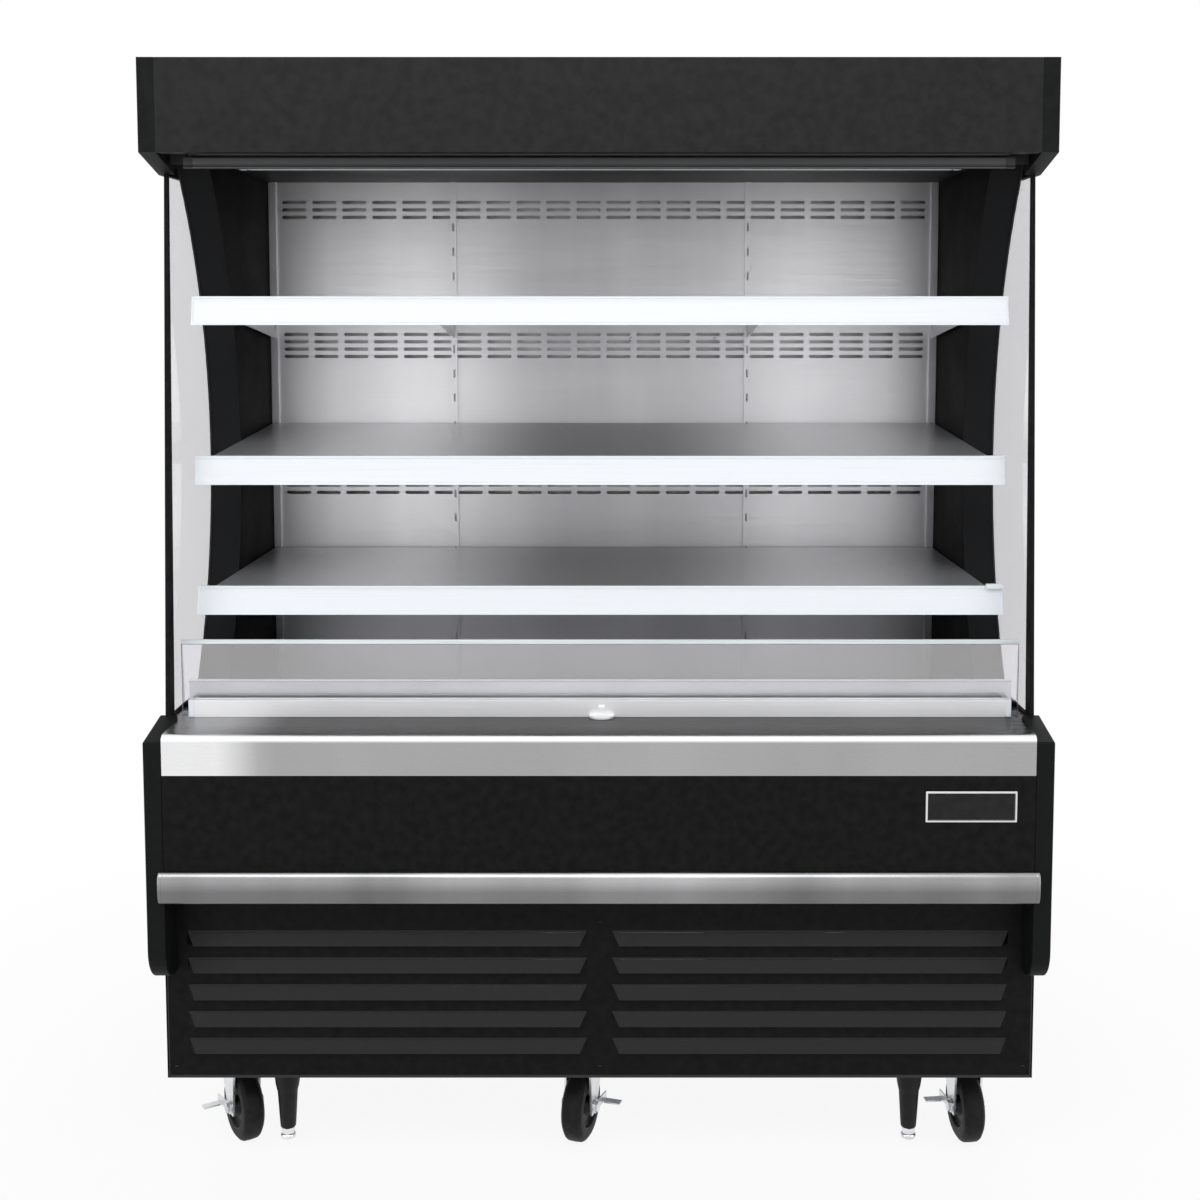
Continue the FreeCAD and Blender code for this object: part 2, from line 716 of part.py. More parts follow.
def ticket_strip(level):
    """White price strip clipped to the front edge, its lower edge leaning forward."""
    z = shelf_z[level]
    front = shelf_front_y - strip_cover
    outline = [(front, z + strip_rise), (shelf_front_y, z + strip_rise), (shelf_front_y, z - strip_lean)]
    outline += [(front - strip_lean + strip_thick, z - strip_height), (front - strip_lean, z - strip_height)]
    strip_half_length = liner_x + strip_overhang
    strip = sweep_x(outline, -strip_half_length, strip_half_length)
    strip.rotate(V(0, hinge_y, z), X_AXIS, shelf_tilt[level])
    return strip


for level in range(len(shelf_z)):
    save("shelf_%d" % (level + 1), shelf_pan(level))
    save("ticket_strip_%d" % (level + 1), [ticket_strip(level)])

# ------------------------------------------------------------------ canopy shell
face = box(-canopy_end_x, canopy_end_x, canopy_y, canopy_y + sheet, canopy_z, overall_height)
flange = box(-canopy_end_x, canopy_end_x, canopy_y, canopy_y + canopy_flange, canopy_z, canopy_z + sheet)
top_flange = box(-canopy_end_x, canopy_end_x, canopy_y, canopy_y + roof_flange, roof_z, overall_height)
save("canopy_fascia", [join([face, flange, top_flange])])

roof_front = box(-canopy_end_x, canopy_end_x, canopy_y + roof_flange, frame_top_y, roof_z, overall_height)
roof_rear = box(-core_x, core_x, frame_top_y, back_y, roof_z, overall_height)
save("roof_panel", [join([roof_front, roof_rear])])

divider_y = canopy_y + divider_depth
comb_y = divider_y + sheet
comb_z = ceiling_z - honeycomb_height
ceiling_y = comb_y + honeycomb_depth
divider = box(-canopy_end_x, canopy_end_x, divider_y, comb_y, comb_z, roof_z)
ceiling = box(-liner_x, liner_x, ceiling_y, panel_y + sheet, ceiling_z, ceiling_z + sheet)
lip = box(-liner_x, liner_x, ceiling_y, ceiling_y + sheet, ceiling_z - ceiling_lip, ceiling_z + sheet)
save("canopy_ceiling", [divider, join([ceiling, lip])])


def air_honeycomb():
    """Air curtain outlet: a cell grid between the divider and the ceiling lip."""
    block = box(-liner_x, liner_x, comb_y, ceiling_y, comb_z, ceiling_z)
    step_x = (2 * liner_x - honeycomb_web) / honeycomb_columns
    step_y = (honeycomb_depth - honeycomb_web) / honeycomb_rows
    cells = []
    for column in range(honeycomb_columns):
        x = -liner_x + honeycomb_web + column * step_x
        for row in range(honeycomb_rows):
            y = comb_y + honeycomb_web + row * step_y
            cells.append(box(x, x + step_x - honeycomb_web, y, y + step_y - honeycomb_web,
                             comb_z, ceiling_z))
    return cut(block, cells)


save("air_honeycomb", [air_honeycomb()])
light_y = ceiling_y + light_setback
light_half_length = liner_x - light_end_gap
save("canopy_light", [box(-light_half_length, light_half_length, light_y, light_y + light_depth,
                          ceiling_z - light_height, ceiling_z)])

# ------------------------------------------------------------------ curtain roller, cloth and pull bar
roller_y = canopy_y + roller_depth
roller_z = overall_height - roller_drop
roller_half_length = canopy_end_x - roller_end_gap
wound_half_length = roller_half_length - wound_inset
bar_half_length = wound_half_length + bar_overhang
bar_top_z = canopy_z + bar_tuck
cloth_y = roller_y + roller_wound + air_gap
journal_end = canopy_end_x - end_float


def canopy_end_piece():
    """Moulded end: an outer cheek over the side skin and a block that carries the roller bearing."""
    cheek = [(canopy_y, canopy_z), (frame_top_y, canopy_drop_z), (canopy_y + canopy_lap, canopy_drop_z)]
    cheek += [(canopy_y + canopy_lap, overall_height), (canopy_y, overall_height)]
    run = (frame_edge_y(canopy_drop_z) - canopy_y) / (frame_top_y - canopy_y)
    foot_z = canopy_z - run * (canopy_z - canopy_drop_z)
    block = [(canopy_y, canopy_z), (frame_edge_y(foot_z), foot_z), (frame_top_y, canopy_z)]
    block += [(frame_top_y, overall_height), (canopy_y, overall_height)]
    body = join([sweep_x(cheek, skin_x, half_width), sweep_x(block, canopy_end_x, skin_x)])
    boss_start = (canopy_end_x - bearing_depth, roller_y, roller_z)
    boss = rod(bearing_boss, boss_start, X_AXIS, bearing_depth + sheet)
    bore = rod(journal + running, boss_start, X_AXIS, bearing_depth)
    return join([body, boss]).cut(bore)


save("canopy_ends", pair(canopy_end_piece()))

core_tube = rod(roller_tube, (-roller_half_length, roller_y, roller_z), X_AXIS, 2 * roller_half_length)
wound = rod(roller_wound, (-wound_half_length, roller_y, roller_z), X_AXIS, 2 * wound_half_length)
journal_rod = rod(journal, (-journal_end, roller_y, roller_z), X_AXIS, 2 * journal_end)
save("curtain_roller", [join([core_tube, wound, journal_rod])])

save("curtain_cloth", [box(-wound_half_length, wound_half_length, cloth_y, cloth_y + curtain_thick,
                           bar_top_z, roller_z)])


def curtain_bar():
    """Hollow pull bar with plugged ends, the cloth clamped to its top."""
    y0 = cloth_y - bar_depth / 2
    low = bar_top_z - bar_height
    bar = box(-bar_half_length, bar_half_length, y0, y0 + bar_depth, low, bar_top_z)
    plug = 4 * bar_wall
    hollow = box(-bar_half_length + plug, bar_half_length - plug, y0 + bar_wall, y0 + bar_depth - bar_wall,
                 low + bar_wall, bar_top_z - bar_wall)
    return bar.cut(hollow)


save("curtain_bar", [curtain_bar()])


# ------------------------------------------------------------------ base frame and louvre panel
def tube(x0, x1, y0, y1, z0, z1, along):
    """Rectangular steel tube, open at both ends along one axis."""
    outer = box(x0, x1, y0, y1, z0, z1)
    grow = {"x": 0.0, "y": 0.0, "z": 0.0}
    inset = {axis: rail_wall for axis in grow}
    inset[along] = 0.0
    inner = box(x0 + inset["x"], x1 - inset["x"], y0 + inset["y"], y1 - inset["y"],
                z0 + inset["z"], z1 - inset["z"])
    return outer.cut(inner)


frame_front_y = base_y + skin
frame_back_y = back_y - sheet


def base_frame():
    """Welded tube frame: two rings, four corner posts, a member over each caster and leg, a tray."""
    members = []
    for z in (base_z, tank_z - rail):
        members.append(tube(-core_x, core_x, frame_front_y, frame_front_y + rail, z, z + rail, "x"))
        members.append(tube(-core_x, core_x, frame_back_y - rail, frame_back_y, z, z + rail, "x"))
        side = tube(core_x - rail, core_x, frame_front_y + rail, frame_back_y - rail, z, z + rail, "y")
        members += pair(side)
    for y in (frame_front_y, frame_back_y - rail):
        post = tube(core_x - rail, core_x, y, y + rail, base_z + rail, tank_z - rail, "z")
        members += pair(post)
    for x in front_casters + leg_x:
        members.append(tube(x - rail / 2, x + rail / 2, frame_front_y + rail, frame_back_y - rail,
                            base_z, base_z + rail, "y"))
    tray_z = base_z + rail
    tray = box(-core_x + rail, core_x - rail, frame_front_y + rail, frame_back_y - rail,
               tray_z, tray_z + tray_sheet)
    members.append(tray)
    return members


save("base_frame", base_frame())
bay_floor_z = base_z + rail + tray_sheet


def louvre(x0, x1, top_z):
    """Pressed hood: a sloping face with tapered ends, and the opening that it shades."""
    low_z = top_z - louvre_face
    out_y = base_y - louvre_stand
    wedge = sweep_x([(base_y, top_z), (out_y, low_z), (base_y, low_z)], x0, x1)
    hollow = sweep_x([(base_y + sheet, top_z - 2 * sheet), (base_y, top_z - 2 * sheet),
                      (out_y + sheet, low_z), (base_y + sheet, low_z)],
                     x0 + louvre_taper, x1 - louvre_taper)
    left = sweep_z([(x0, base_y), (x0 + louvre_taper, out_y), (x0, out_y)], low_z, top_z)
    right = sweep_z([(x1, base_y), (x1, out_y), (x1 - louvre_taper, out_y)], low_z, top_z)
    return wedge.cut([left, right]), hollow


def louvre_panel():
    end_x = core_x - louvre_inset
    top = tank_z - louvre_top_gap
    panel = box(-end_x, end_x, base_y, base_y + skin, base_z + louvre_foot_gap, top)
    louvre_groups = ((louvre_margins[0] - end_x, louvre_middle[0]),
                     (louvre_middle[1], end_x - louvre_margins[1]))
    hoods = []
    openings = []
    for x0, x1 in louvre_groups:
        for row in range(louvre_rows):
            top_z = top - louvre_first_drop - row * louvre_pitch
            hood, hollow = louvre(x0, x1, top_z)
            hoods.append(hood)
            openings.append(hollow)
            openings.append(box(x0 + louvre_taper, x1 - louvre_taper, base_y - sheet, base_y + 2 * skin,
                                top_z - louvre_face, top_z - 2 * sheet))
    return cut(join([panel] + hoods), openings)


save("louvre_panel", [louvre_panel()])


# ------------------------------------------------------------------ casters
def placed(shape, x, y, turn):
    shape.rotate(V(0, 0, 0), Z_AXIS, turn)
    shape.translate(V(x, y, 0))
    return shape


plate_z = base_z - caster_plate[2]
race_z = plate_z - race_height
crown_z = race_z - fork_plate
leg_inner = wheel_width / 2 + wheel_side_gap


def caster_base(x, y):
    """Top plate with the fixed race and the kingpin, on the underside of the base frame."""
    length, width, thick = caster_plate
    plate = box(-length / 2, length / 2, -width / 2, width / 2, plate_z, base_z)
    race = rod(race_radius, (0, 0, race_z), Z_AXIS, race_height)
    pin = rod(kingpin, (0, 0, race_z - kingpin_length), Z_AXIS, kingpin_length)
    return placed(join([plate, race, pin]), x, y, 0.0)


def caster_fork():
    """Crown plate round the kingpin, two tapered legs and the axle; the wheel trails to -Y."""
    head = rod(race_radius, (0, 0, race_z - fork_plate), Z_AXIS, fork_plate)
    outer = leg_inner + fork_plate
    crown = box(-outer, outer, -fork_front, fork_back, crown_z - fork_plate, crown_z)
    foot = front_axle_z - fork_foot_half
    outline = [(fork_back, crown_z), (-fork_front, crown_z)]
    outline += [(-trail - fork_foot_half, foot), (-trail + fork_foot_half, foot)]
    legs = pair(sweep_x(outline, leg_inner, outer))
    far = outer + lever_plate + axle_head_depth + air_gap
    pin = rod(axle, (-far, -trail, front_axle_z), X_AXIS, 2 * far)
    heads = [rod(axle_head, (-far, -trail, front_axle_z), X_AXIS, axle_head_depth)]
    heads.append(rod(axle_head, (far - axle_head_depth, -trail, front_axle_z), X_AXIS, axle_head_depth))
    spacer = rod(axle_head, (outer, -trail, front_axle_z), X_AXIS, far - axle_head_depth - outer)
    body = join([head, crown] + legs + [pin, spacer] + heads)
    pocket = rod(kingpin + running, (0, 0, race_z - kingpin_length - air_gap), Z_AXIS, kingpin_length + 1)
    return body.cut(pocket)


def caster_wheel():
    """Tread with sloped shoulders, bored for the axle."""
    half = wheel_width / 2
    rim = wheel_radius - wheel_shoulder
    section = [V(-half, 0, axle + running), V(-half, 0, rim), V(-half + wheel_shoulder, 0, wheel_radius)]
    section += [V(half - wheel_shoulder, 0, wheel_radius), V(half, 0, rim), V(half, 0, axle + running)]
    outline = Part.Face(Part.makePolygon(section + section[:1]))
    wheel = outline.revolve(V(0, 0, 0), X_AXIS, 360)
    hubs = []
    for x in (-half - wheel_side_gap + air_gap, half):
        boss = rod(axle_head, (x, 0, 0), X_AXIS, wheel_side_gap - air_gap)
        hubs.append(boss.cut(rod(axle + running, (x, 0, 0), X_AXIS, wheel_side_gap)))
    wheel = join([wheel] + hubs)
    wheel.translate(V(0, -trail, front_axle_z))
    return wheel


def brake_lever():
    """Side lever on the axle, its foot tab bent outwards behind the wheel centre."""
    outer = leg_inner + fork_plate
    x1 = -outer - air_gap / 2
    x0 = x1 - lever_plate
    eye_z = front_axle_z
    far_y = -trail + lever_reach
    far_z = eye_z - lever_drop
    arm = sweep_x([(-trail, eye_z + lever_half), (-trail, eye_z - lever_half),
                   (far_y, far_z - lever_half), (far_y, far_z + lever_half)], x0, x1)
    eye = rod(axle_head + lever_plate, (x0, -trail, eye_z), X_AXIS, lever_plate)
    tab = box(x0 - lever_tab, x0, far_y - 2 * lever_half, far_y, far_z - lever_half,
              far_z - lever_half + lever_plate)
    hole = rod(axle + running, (x0 - 1, -trail, eye_z), X_AXIS, lever_plate + 2)
    return join([arm, eye, tab]).cut(hole)


front_caster_y = nose_y + front_caster_setback
rear_caster_y = back_y - rear_caster_inset
plates = [caster_base(x, front_caster_y) for x in front_casters]
plates += [caster_base(x, rear_caster_y) for x in rear_casters]
save("caster_plates", plates)

places = ("left", "centre", "right")
for number, place in enumerate(places):
    spot = (front_casters[number], front_caster_y, front_swivel[number])
    fork = caster_fork()
    lever = brake_lever()
    if place == "centre":
        fork = mirrored(fork)
        lever = mirrored(lever)
    save("front_fork_" + place, [placed(fork, *spot)])
    save("front_wheel_" + place, [placed(caster_wheel(), *spot)])
    save("brake_lever_" + place, [placed(lever, *spot)])
    spot = (rear_casters[number], rear_caster_y, rear_swivel[number])
    save("rear_fork_" + place, [placed(caster_fork(), *spot)])
    save("rear_wheel_" + place, [placed(caster_wheel(), *spot)])


# ------------------------------------------------------------------ levelling legs
def leg_sleeve(x):
    """Tapered sleeve under the base frame, bored for the screw foot."""
    y = nose_y + leg_setback
    flare = Part.makeCone(leg_radius, leg_flange, base_z - leg_shoulder_z, V(x, y, leg_shoulder_z), Z_AXIS)
    tail = Part.makeCone(foot_radius, leg_radius, leg_shoulder_z - leg_foot_z, V(x, y, leg_foot_z), Z_AXIS)
    bore = rod(foot_stem + air_gap, (x, y, leg_foot_z), Z_AXIS, foot_stem_top + foot_stem - leg_foot_z)
    return join([flare, tail]).cut(bore)


def levelling_foot(x):
    y = nose_y + leg_setback
    pad = rod(foot_radius, (x, y, foot_z), Z_AXIS, leg_foot_z - foot_z)
    stem = rod(foot_stem, (x, y, foot_z), Z_AXIS, foot_stem_top - foot_z)
    return join([pad, stem])


save("leg_sleeves", [leg_sleeve(x) for x in leg_x])
for place, x in zip(("left", "right"), leg_x):
    save("levelling_foot_" + place, [levelling_foot(x)])


# ------------------------------------------------------------------ compressor, condenser, controls
def compressor():
    """Hermetic shell with a domed cap, on a foot plate with four rubber mounts."""
    length, width, thick = compressor_foot
    foot_top = bay_floor_z + mount_height + thick
    shell = rod(compressor_radius, (compressor_x, compressor_y, foot_top), Z_AXIS, compressor_height)
    dome_radius = (compressor_radius ** 2 + compressor_dome ** 2) / (2 * compressor_dome)
    top_z = foot_top + compressor_height
    ball = Part.makeSphere(dome_radius, V(compressor_x, compressor_y, top_z + compressor_dome - dome_radius))
    dome = ball.common(rod(compressor_radius, (compressor_x, compressor_y, top_z), Z_AXIS, dome_radius))
    plate = box(compressor_x - length / 2, compressor_x + length / 2, compressor_y - width / 2,
                compressor_y + width / 2, foot_top - thick, foot_top)
    mounts = []
    for x in (-1, 1):
        for y in (-1, 1):
            place = (compressor_x + x * (length / 2 - mount_radius),
                     compressor_y + y * (width / 2 - mount_radius), bay_floor_z)
            mounts.append(rod(mount_radius, place, Z_AXIS, mount_height))
    return join([shell, dome, plate] + mounts)


save("compressor", [compressor()])


def motor(x, y, z):
    """Fan motor with its shaft towards -Y, the shaft's end at y."""
    length = fan_hub_depth + motor_gap
    can = rod(motor_radius, (x, y + length, z), Y_AXIS, motor_length)
    shaft = rod(motor_shaft, (x, y, z), Y_AXIS, length + motor_gap)
    return join([can, shaft])


def fan(x, y, z, radius):
    """Hub bored for the motor shaft, with pitched blades."""
    hub = rod(fan_hub, (x, y, z), Y_AXIS, fan_hub_depth)
    root = fan_hub - blade_thick
    blades = []
    for number in range(fan_blades):
        width = 2 * math.pi * radius / fan_blades * blade_fill
        blade = box(root, radius * math.cos(width / 2 / radius), -width / 2, width / 2,
                    -blade_thick / 2, blade_thick / 2)
        blade.rotate(V(0, 0, 0), X_AXIS, blade_pitch_angle)
        blade.rotate(V(0, 0, 0), X_AXIS, 90)
        blade.rotate(V(0, 0, 0), Y_AXIS, number * 360.0 / fan_blades)
        blade.translate(V(x, y + fan_hub_depth / 2, z))
        blades.append(blade)
    limit = rod(radius, (x, y, z), Y_AXIS, fan_hub_depth)
    wheel = join([hub] + [blade.common(limit) for blade in blades])
    return wheel.cut(rod(motor_shaft + running, (x, y, z), Y_AXIS, fan_hub_depth))


def finned_coil(x0, x1, y0, y1, z0, z1, fin_pitch):
    """Fins on a serpentine of tubes between two end plates, with return bends outside them."""
    plates = [box(x0 - coil_plate, x0, y0, y1, z0 - coil_foot, z1)]
    plates.append(box(x1, x1 + coil_plate, y0, y1, z0 - coil_foot, z1))
    fins = []
    for number in range(1, int((x1 - x0) / fin_pitch)):
        x = x0 + number * fin_pitch
        fins.append(box(x, x + fin_thick, y0, y1, z0, z1))
    tubes = []
    middle = (y0 + y1) / 2
    reach = coil_plate + coil_bend_reach
    z = z0 + coil_pitch / 2
    while z + coil_pitch / 2 < z1:
        for pipe_z in (z, z + coil_pitch / 2):
            tubes.append(rod(coil_tube, (x0 - reach, middle, pipe_z), X_AXIS, x1 - x0 + 2 * reach))
        for link_x in (x0 - reach + coil_tube, x1 + reach - coil_tube):
            tubes.append(rod(coil_tube, (link_x, middle, z), Z_AXIS, coil_pitch / 2))
        z += coil_pitch
    return join(plates + fins + tubes)


condenser_y = base_y + skin + condenser_setback
condenser_z = bay_floor_z + coil_foot
condenser_mid = sum(condenser_x) / 2
shroud_y = condenser_y + condenser_depth
condenser_fan_z = condenser_z + condenser_height / 2


def fan_shroud(x0, x1, y, depth, z0, z1, centres, radius, axis_z):
    """Plate with a round throat for each fan, and one arm across it to carry the motor."""
    plate = box(x0, x1, y, y + depth, z0, z1)
    hollow = box(x0 + skin, x1 - skin, y, y + depth - skin, z0 + skin, z1 - skin)
    throats = []
    arms = []
    for x in centres:
        throats.append(rod(radius + fan_tip_gap, (x, y, axis_z), Y_AXIS, depth))
    for x in centres:
        arm_y = y + depth + motor_gap
        arms.append(box(x - motor_arm / 2, x + motor_arm / 2, arm_y, arm_y + skin, z0, z1))
        for foot_z in (z0, z1 - motor_arm_foot):
            arms.append(box(x - motor_arm / 2, x + motor_arm / 2, y + depth - skin, arm_y + skin,
                            foot_z, foot_z + motor_arm_foot))
        arms.append(motor(x, arm_y - fan_hub_depth - motor_gap, axis_z))
    return join([cut(plate, [hollow] + throats)] + arms)


coil = finned_coil(condenser_x[0], condenser_x[1], condenser_y, shroud_y, condenser_z,
                   condenser_z + condenser_height, condenser_fin_pitch)
shroud = fan_shroud(condenser_x[0], condenser_x[1], shroud_y, shroud_depth, condenser_z - coil_foot,
                    condenser_z + condenser_height, [condenser_mid], condenser_fan_radius, condenser_fan_z)
save("condenser_coil", [coil, shroud])
fan_y = shroud_y + shroud_depth + motor_gap - fan_hub_depth - motor_gap
save("condenser_fan", [fan(condenser_mid, fan_y, condenser_fan_z, condenser_fan_radius)])


def control_box():
    """Electrical box on the tray against the rear skin, with the supply gland through it."""
    y1 = back_y - sheet
    x0, x1 = control_x
    case = box(x0, x1, y1 - control_depth, y1, bay_floor_z, bay_floor_z + control_height)
    room = box(x0 + sheet, x1 - sheet, y1 - control_depth + sheet, y1 - sheet, bay_floor_z + sheet,
               bay_floor_z + control_height - sheet)
    gland_x = (x0 + x1) / 2
    gland = rod(gland_radius, (gland_x, y1, gland_z), Y_AXIS, sheet)
    inside = rod(gland_radius / 2, (gland_x, y1 - gland_reach, gland_z), Y_AXIS, gland_reach + sheet)
    return join([case.cut(room), gland]).cut(inside)


save("control_box", [control_box()])

# ------------------------------------------------------------------ evaporator in the tank
tank_well_z = tank_floor_z + sheet
evaporator_y1 = panel_y - evaporator_rear_gap
evaporator_y0 = evaporator_y1 - evaporator_depth
evaporator_z = tank_well_z + coil_foot
baffle_top = deck_z - pan_lip
evaporator_half_length = liner_x - evaporator_end_gap
evaporator = finned_coil(-evaporator_half_length, evaporator_half_length, evaporator_y0, evaporator_y1,
                         evaporator_z, baffle_top - evaporator_top_gap, evaporator_fin_pitch)
baffle_y = evaporator_y0 - baffle_gap
evaporator_fan_z = (tank_well_z + baffle_top) / 2
fan_places = (-evaporator_fan_x, evaporator_fan_x)
baffle = fan_shroud(-liner_x, liner_x, baffle_y, fan_hub_depth, tank_well_z, baffle_top, fan_places,
                    evaporator_fan_radius, evaporator_fan_z)
save("evaporator_coil", [evaporator, baffle])
for place, x in zip(("left", "right"), fan_places):
    wheel = fan(x, baffle_y, evaporator_fan_z, evaporator_fan_radius)
    save("evaporator_fan_" + place, [wheel])
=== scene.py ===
import json
import math

import bmesh
import bpy
from mathutils import Matrix, Vector

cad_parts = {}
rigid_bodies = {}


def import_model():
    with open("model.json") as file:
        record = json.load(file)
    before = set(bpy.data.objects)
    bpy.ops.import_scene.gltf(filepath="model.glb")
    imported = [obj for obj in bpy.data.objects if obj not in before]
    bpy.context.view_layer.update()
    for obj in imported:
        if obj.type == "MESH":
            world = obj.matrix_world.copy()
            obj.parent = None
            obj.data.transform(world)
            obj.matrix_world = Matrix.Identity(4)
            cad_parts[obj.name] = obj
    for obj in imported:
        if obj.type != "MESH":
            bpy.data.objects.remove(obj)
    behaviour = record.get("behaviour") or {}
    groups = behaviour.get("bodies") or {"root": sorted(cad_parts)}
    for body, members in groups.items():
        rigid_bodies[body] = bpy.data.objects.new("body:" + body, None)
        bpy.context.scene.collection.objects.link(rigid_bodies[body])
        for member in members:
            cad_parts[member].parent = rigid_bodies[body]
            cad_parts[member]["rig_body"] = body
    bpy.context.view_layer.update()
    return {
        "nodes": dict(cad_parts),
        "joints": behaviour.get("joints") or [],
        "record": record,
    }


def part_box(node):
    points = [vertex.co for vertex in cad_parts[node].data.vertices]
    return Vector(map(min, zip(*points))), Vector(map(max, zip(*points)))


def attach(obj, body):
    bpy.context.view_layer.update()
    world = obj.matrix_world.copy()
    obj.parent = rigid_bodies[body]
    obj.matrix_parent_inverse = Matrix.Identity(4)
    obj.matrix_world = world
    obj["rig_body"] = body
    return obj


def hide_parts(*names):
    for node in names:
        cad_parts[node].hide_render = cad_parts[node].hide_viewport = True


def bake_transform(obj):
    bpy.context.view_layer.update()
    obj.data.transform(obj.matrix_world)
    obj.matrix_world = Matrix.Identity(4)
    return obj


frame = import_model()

bl_info = {
    "name": "Open display fridge dressing",
    "version": (1, 0, 0),
    "blender": (4, 5, 0),
    "location": "View3D > Sidebar > Display fridge",
    "description": "Finishes and fittings of an open multideck display fridge, built round its frame",
    "category": "Object",
}

CABINET = "cabinet"
X_AXIS = Vector((1, 0, 0))
Y_AXIS = Vector((0, 1, 0))
Z_AXIS = Vector((0, 0, 1))
PLACES = ("left", "centre", "right")
LEVELS = (1, 2, 3)

# Tolerances of the mesh work, in metres and radians.
MERGE_DISTANCE = 1e-6
FLAT_ANGLE = math.radians(0.4)
BEVEL_ANGLE = math.radians(32)
SMOOTH_ANGLE = math.radians(38)


def low(node):
    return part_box(node)[0]


def high(node):
    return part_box(node)[1]


# Planes that several pieces share, read from the frame.
NOSE_Y = low("front_panel").y
SKIN_X = high("side_skins").x
OUTER_X = high("canopy_ends").x
BACK_Y = high("rear_skin").y
SILL_Z = high("sill_cap").z
LINER_X = high("duct_panel").x
DUCT_Y = low("duct_panel").y
GUARD_Y = low("guard_channel").y
BASE_Z = low("base_frame").z

# Values that the frame's boxes don't give: metres, radians, and the camera's shift and sensor.
WINDOW_FOOT_DEPTH = 0.2875
WINDOW_TOP_DEPTH = 0.2295
WINDOW_WAIST_Z = 1.240
SHELF_Z = {1: 1.525, 2: 1.275, 3: 1.015}
SHELF_TILT = {1: 0.0, 2: math.radians(3.3), 3: 0.0}
STRIP_FRONT_Y = -0.2185
CAMERA_SHIFT = (-0.0195, -0.12)
SENSOR_WIDTH = 36.0


# ---------------------------------------------------------------- settings shown in the panel
def colour(name, about, default):
    return bpy.props.FloatVectorProperty(name=name, description=about, subtype="COLOR", default=default,
                                         min=0.0, max=1.0)


def length(name, about, default, least, most):
    return bpy.props.FloatProperty(name=name, description=about, unit="LENGTH", default=default, min=least,
                                   max=most, precision=4)


def power(name, about, default):
    return bpy.props.FloatProperty(name=name, description=about, default=default, min=0.0)


class FridgeColours(bpy.types.PropertyGroup):
    """Colours of the finishes."""
    fascia: colour("Canopy paint", "Satin black of the canopy", (0.0106, 0.0106, 0.0108))
    paint: colour("Body paint", "Black powder coat of panels and skins", (0.0050, 0.0050, 0.0052))
    moulding: colour("Moulded ends", "Black plastic of the moulded ends", (0.0042, 0.0046, 0.0047))
    steel: colour("Stainless steel", "Brushed sheet of the bumper and the guard", (0.60, 0.60, 0.61))
    strip: colour("Price strips", "White plastic of the price strips", (0.88, 0.91, 0.95))
    cloth: colour("Night curtain", "Woven cloth of the curtain", (0.50, 0.52, 0.55))


class FridgeSizes(bpy.types.PropertyGroup):
    """Sizes of edges and small fittings."""
    sheet_edge: length("Sheet edge", "Rounding of folded sheet edges", 0.0006, 0.0001, 0.003)
    panel_edge: length("Panel edge", "Rounding of the painted panels", 0.0011, 0.0001, 0.004)
    canopy_end_edge: length("Canopy end edge", "Rounding of the moulded canopy ends", 0.0034, 0.0005, 0.004)
    nose_end_edge: length("Nose end edge", "Rounding of the moulded nose ends", 0.0030, 0.0005, 0.012)
    screw_head: length("Screw head", "Radius of the panel screws' heads", 0.0048, 0.002, 0.010)
    seal: length("Window seal", "Radius of the glazing bead", 0.0012, 0.0005, 0.006)


class FridgeStage(bpy.types.PropertyGroup):
    """Camera and light."""
    lens: bpy.props.FloatProperty(
        name="Lens", description="Focal length on a 36 mm sensor, in millimetres",
        default=47.49, min=20.0, max=200.0)
    camera_place: bpy.props.FloatVectorProperty(
        name="Camera", description="Where the eye stands", subtype="TRANSLATION",
        default=(0.041, -2.991, 1.478))
    pitch: bpy.props.FloatProperty(
        name="Pitch", description="How far the camera looks down", subtype="ANGLE",
        default=math.radians(4.73))
    key_power: power("Key light", "Power of the large lamp above the front, in watts", 46.0)
    fill_power: power("Fill lights", "Power of each lamp beside the camera, in watts", 20.0)
    rear_power: power("Rear light", "Power of the lamp behind, in watts", 30.0)


def colours():
    return bpy.context.scene.fridge_colours


def sizes():
    return bpy.context.scene.fridge_sizes


# ---------------------------------------------------------------- node helpers
def feed(tree, socket, value):
    """Link an input to a socket, or set it to any other value."""
    if isinstance(value, bpy.types.NodeSocket):
        tree.links.new(value, socket)
    else:
        socket.default_value = value


def wire(tree, made, **inputs):
    """Feed a node's inputs; their names have _ for a space."""
    for key, value in inputs.items():
        feed(tree, made.inputs[key.replace("_", " ")], value)
    return made


def put(tree, kind, settings=None, **inputs):
    """Add a node with its settings and inputs."""
    made = tree.nodes.new(kind)
    for key, value in (settings or {}).items():
        setattr(made, key, value)
    return wire(tree, made, **inputs)


def noise(tree, vector, scale, detail=3.0, roughness=0.5):
    return put(tree, "ShaderNodeTexNoise", Vector=vector, Scale=scale, Detail=detail,
               Roughness=roughness).outputs["Fac"]


def stretched_noise(tree, vector, scale, detail=3.0, roughness=0.5, shift=(0.0, 0.0, 0.0)):
    """Noise over coordinates that are scaled by axis; returns its value."""
    placed = put(tree, "ShaderNodeMapping", Vector=vector, Scale=scale, Location=shift)
    return noise(tree, placed.outputs["Vector"], 1.0, detail, roughness)


def ramp(tree, value, stops):
    """Colour ramp over value; stops are (position, colour or grey) in rising order."""
    made = put(tree, "ShaderNodeValToRGB", Fac=value)
    elements = made.color_ramp.elements
    for place, _ in stops[1:-1]:
        elements.new(place)
    for element, (place, tone) in zip(elements, stops):
        element.position = place
        rgb = (tone,) * 3 if isinstance(tone, float) else tuple(tone)[:3]
        element.color = rgb + (1.0,)
    return made.outputs["Color"]


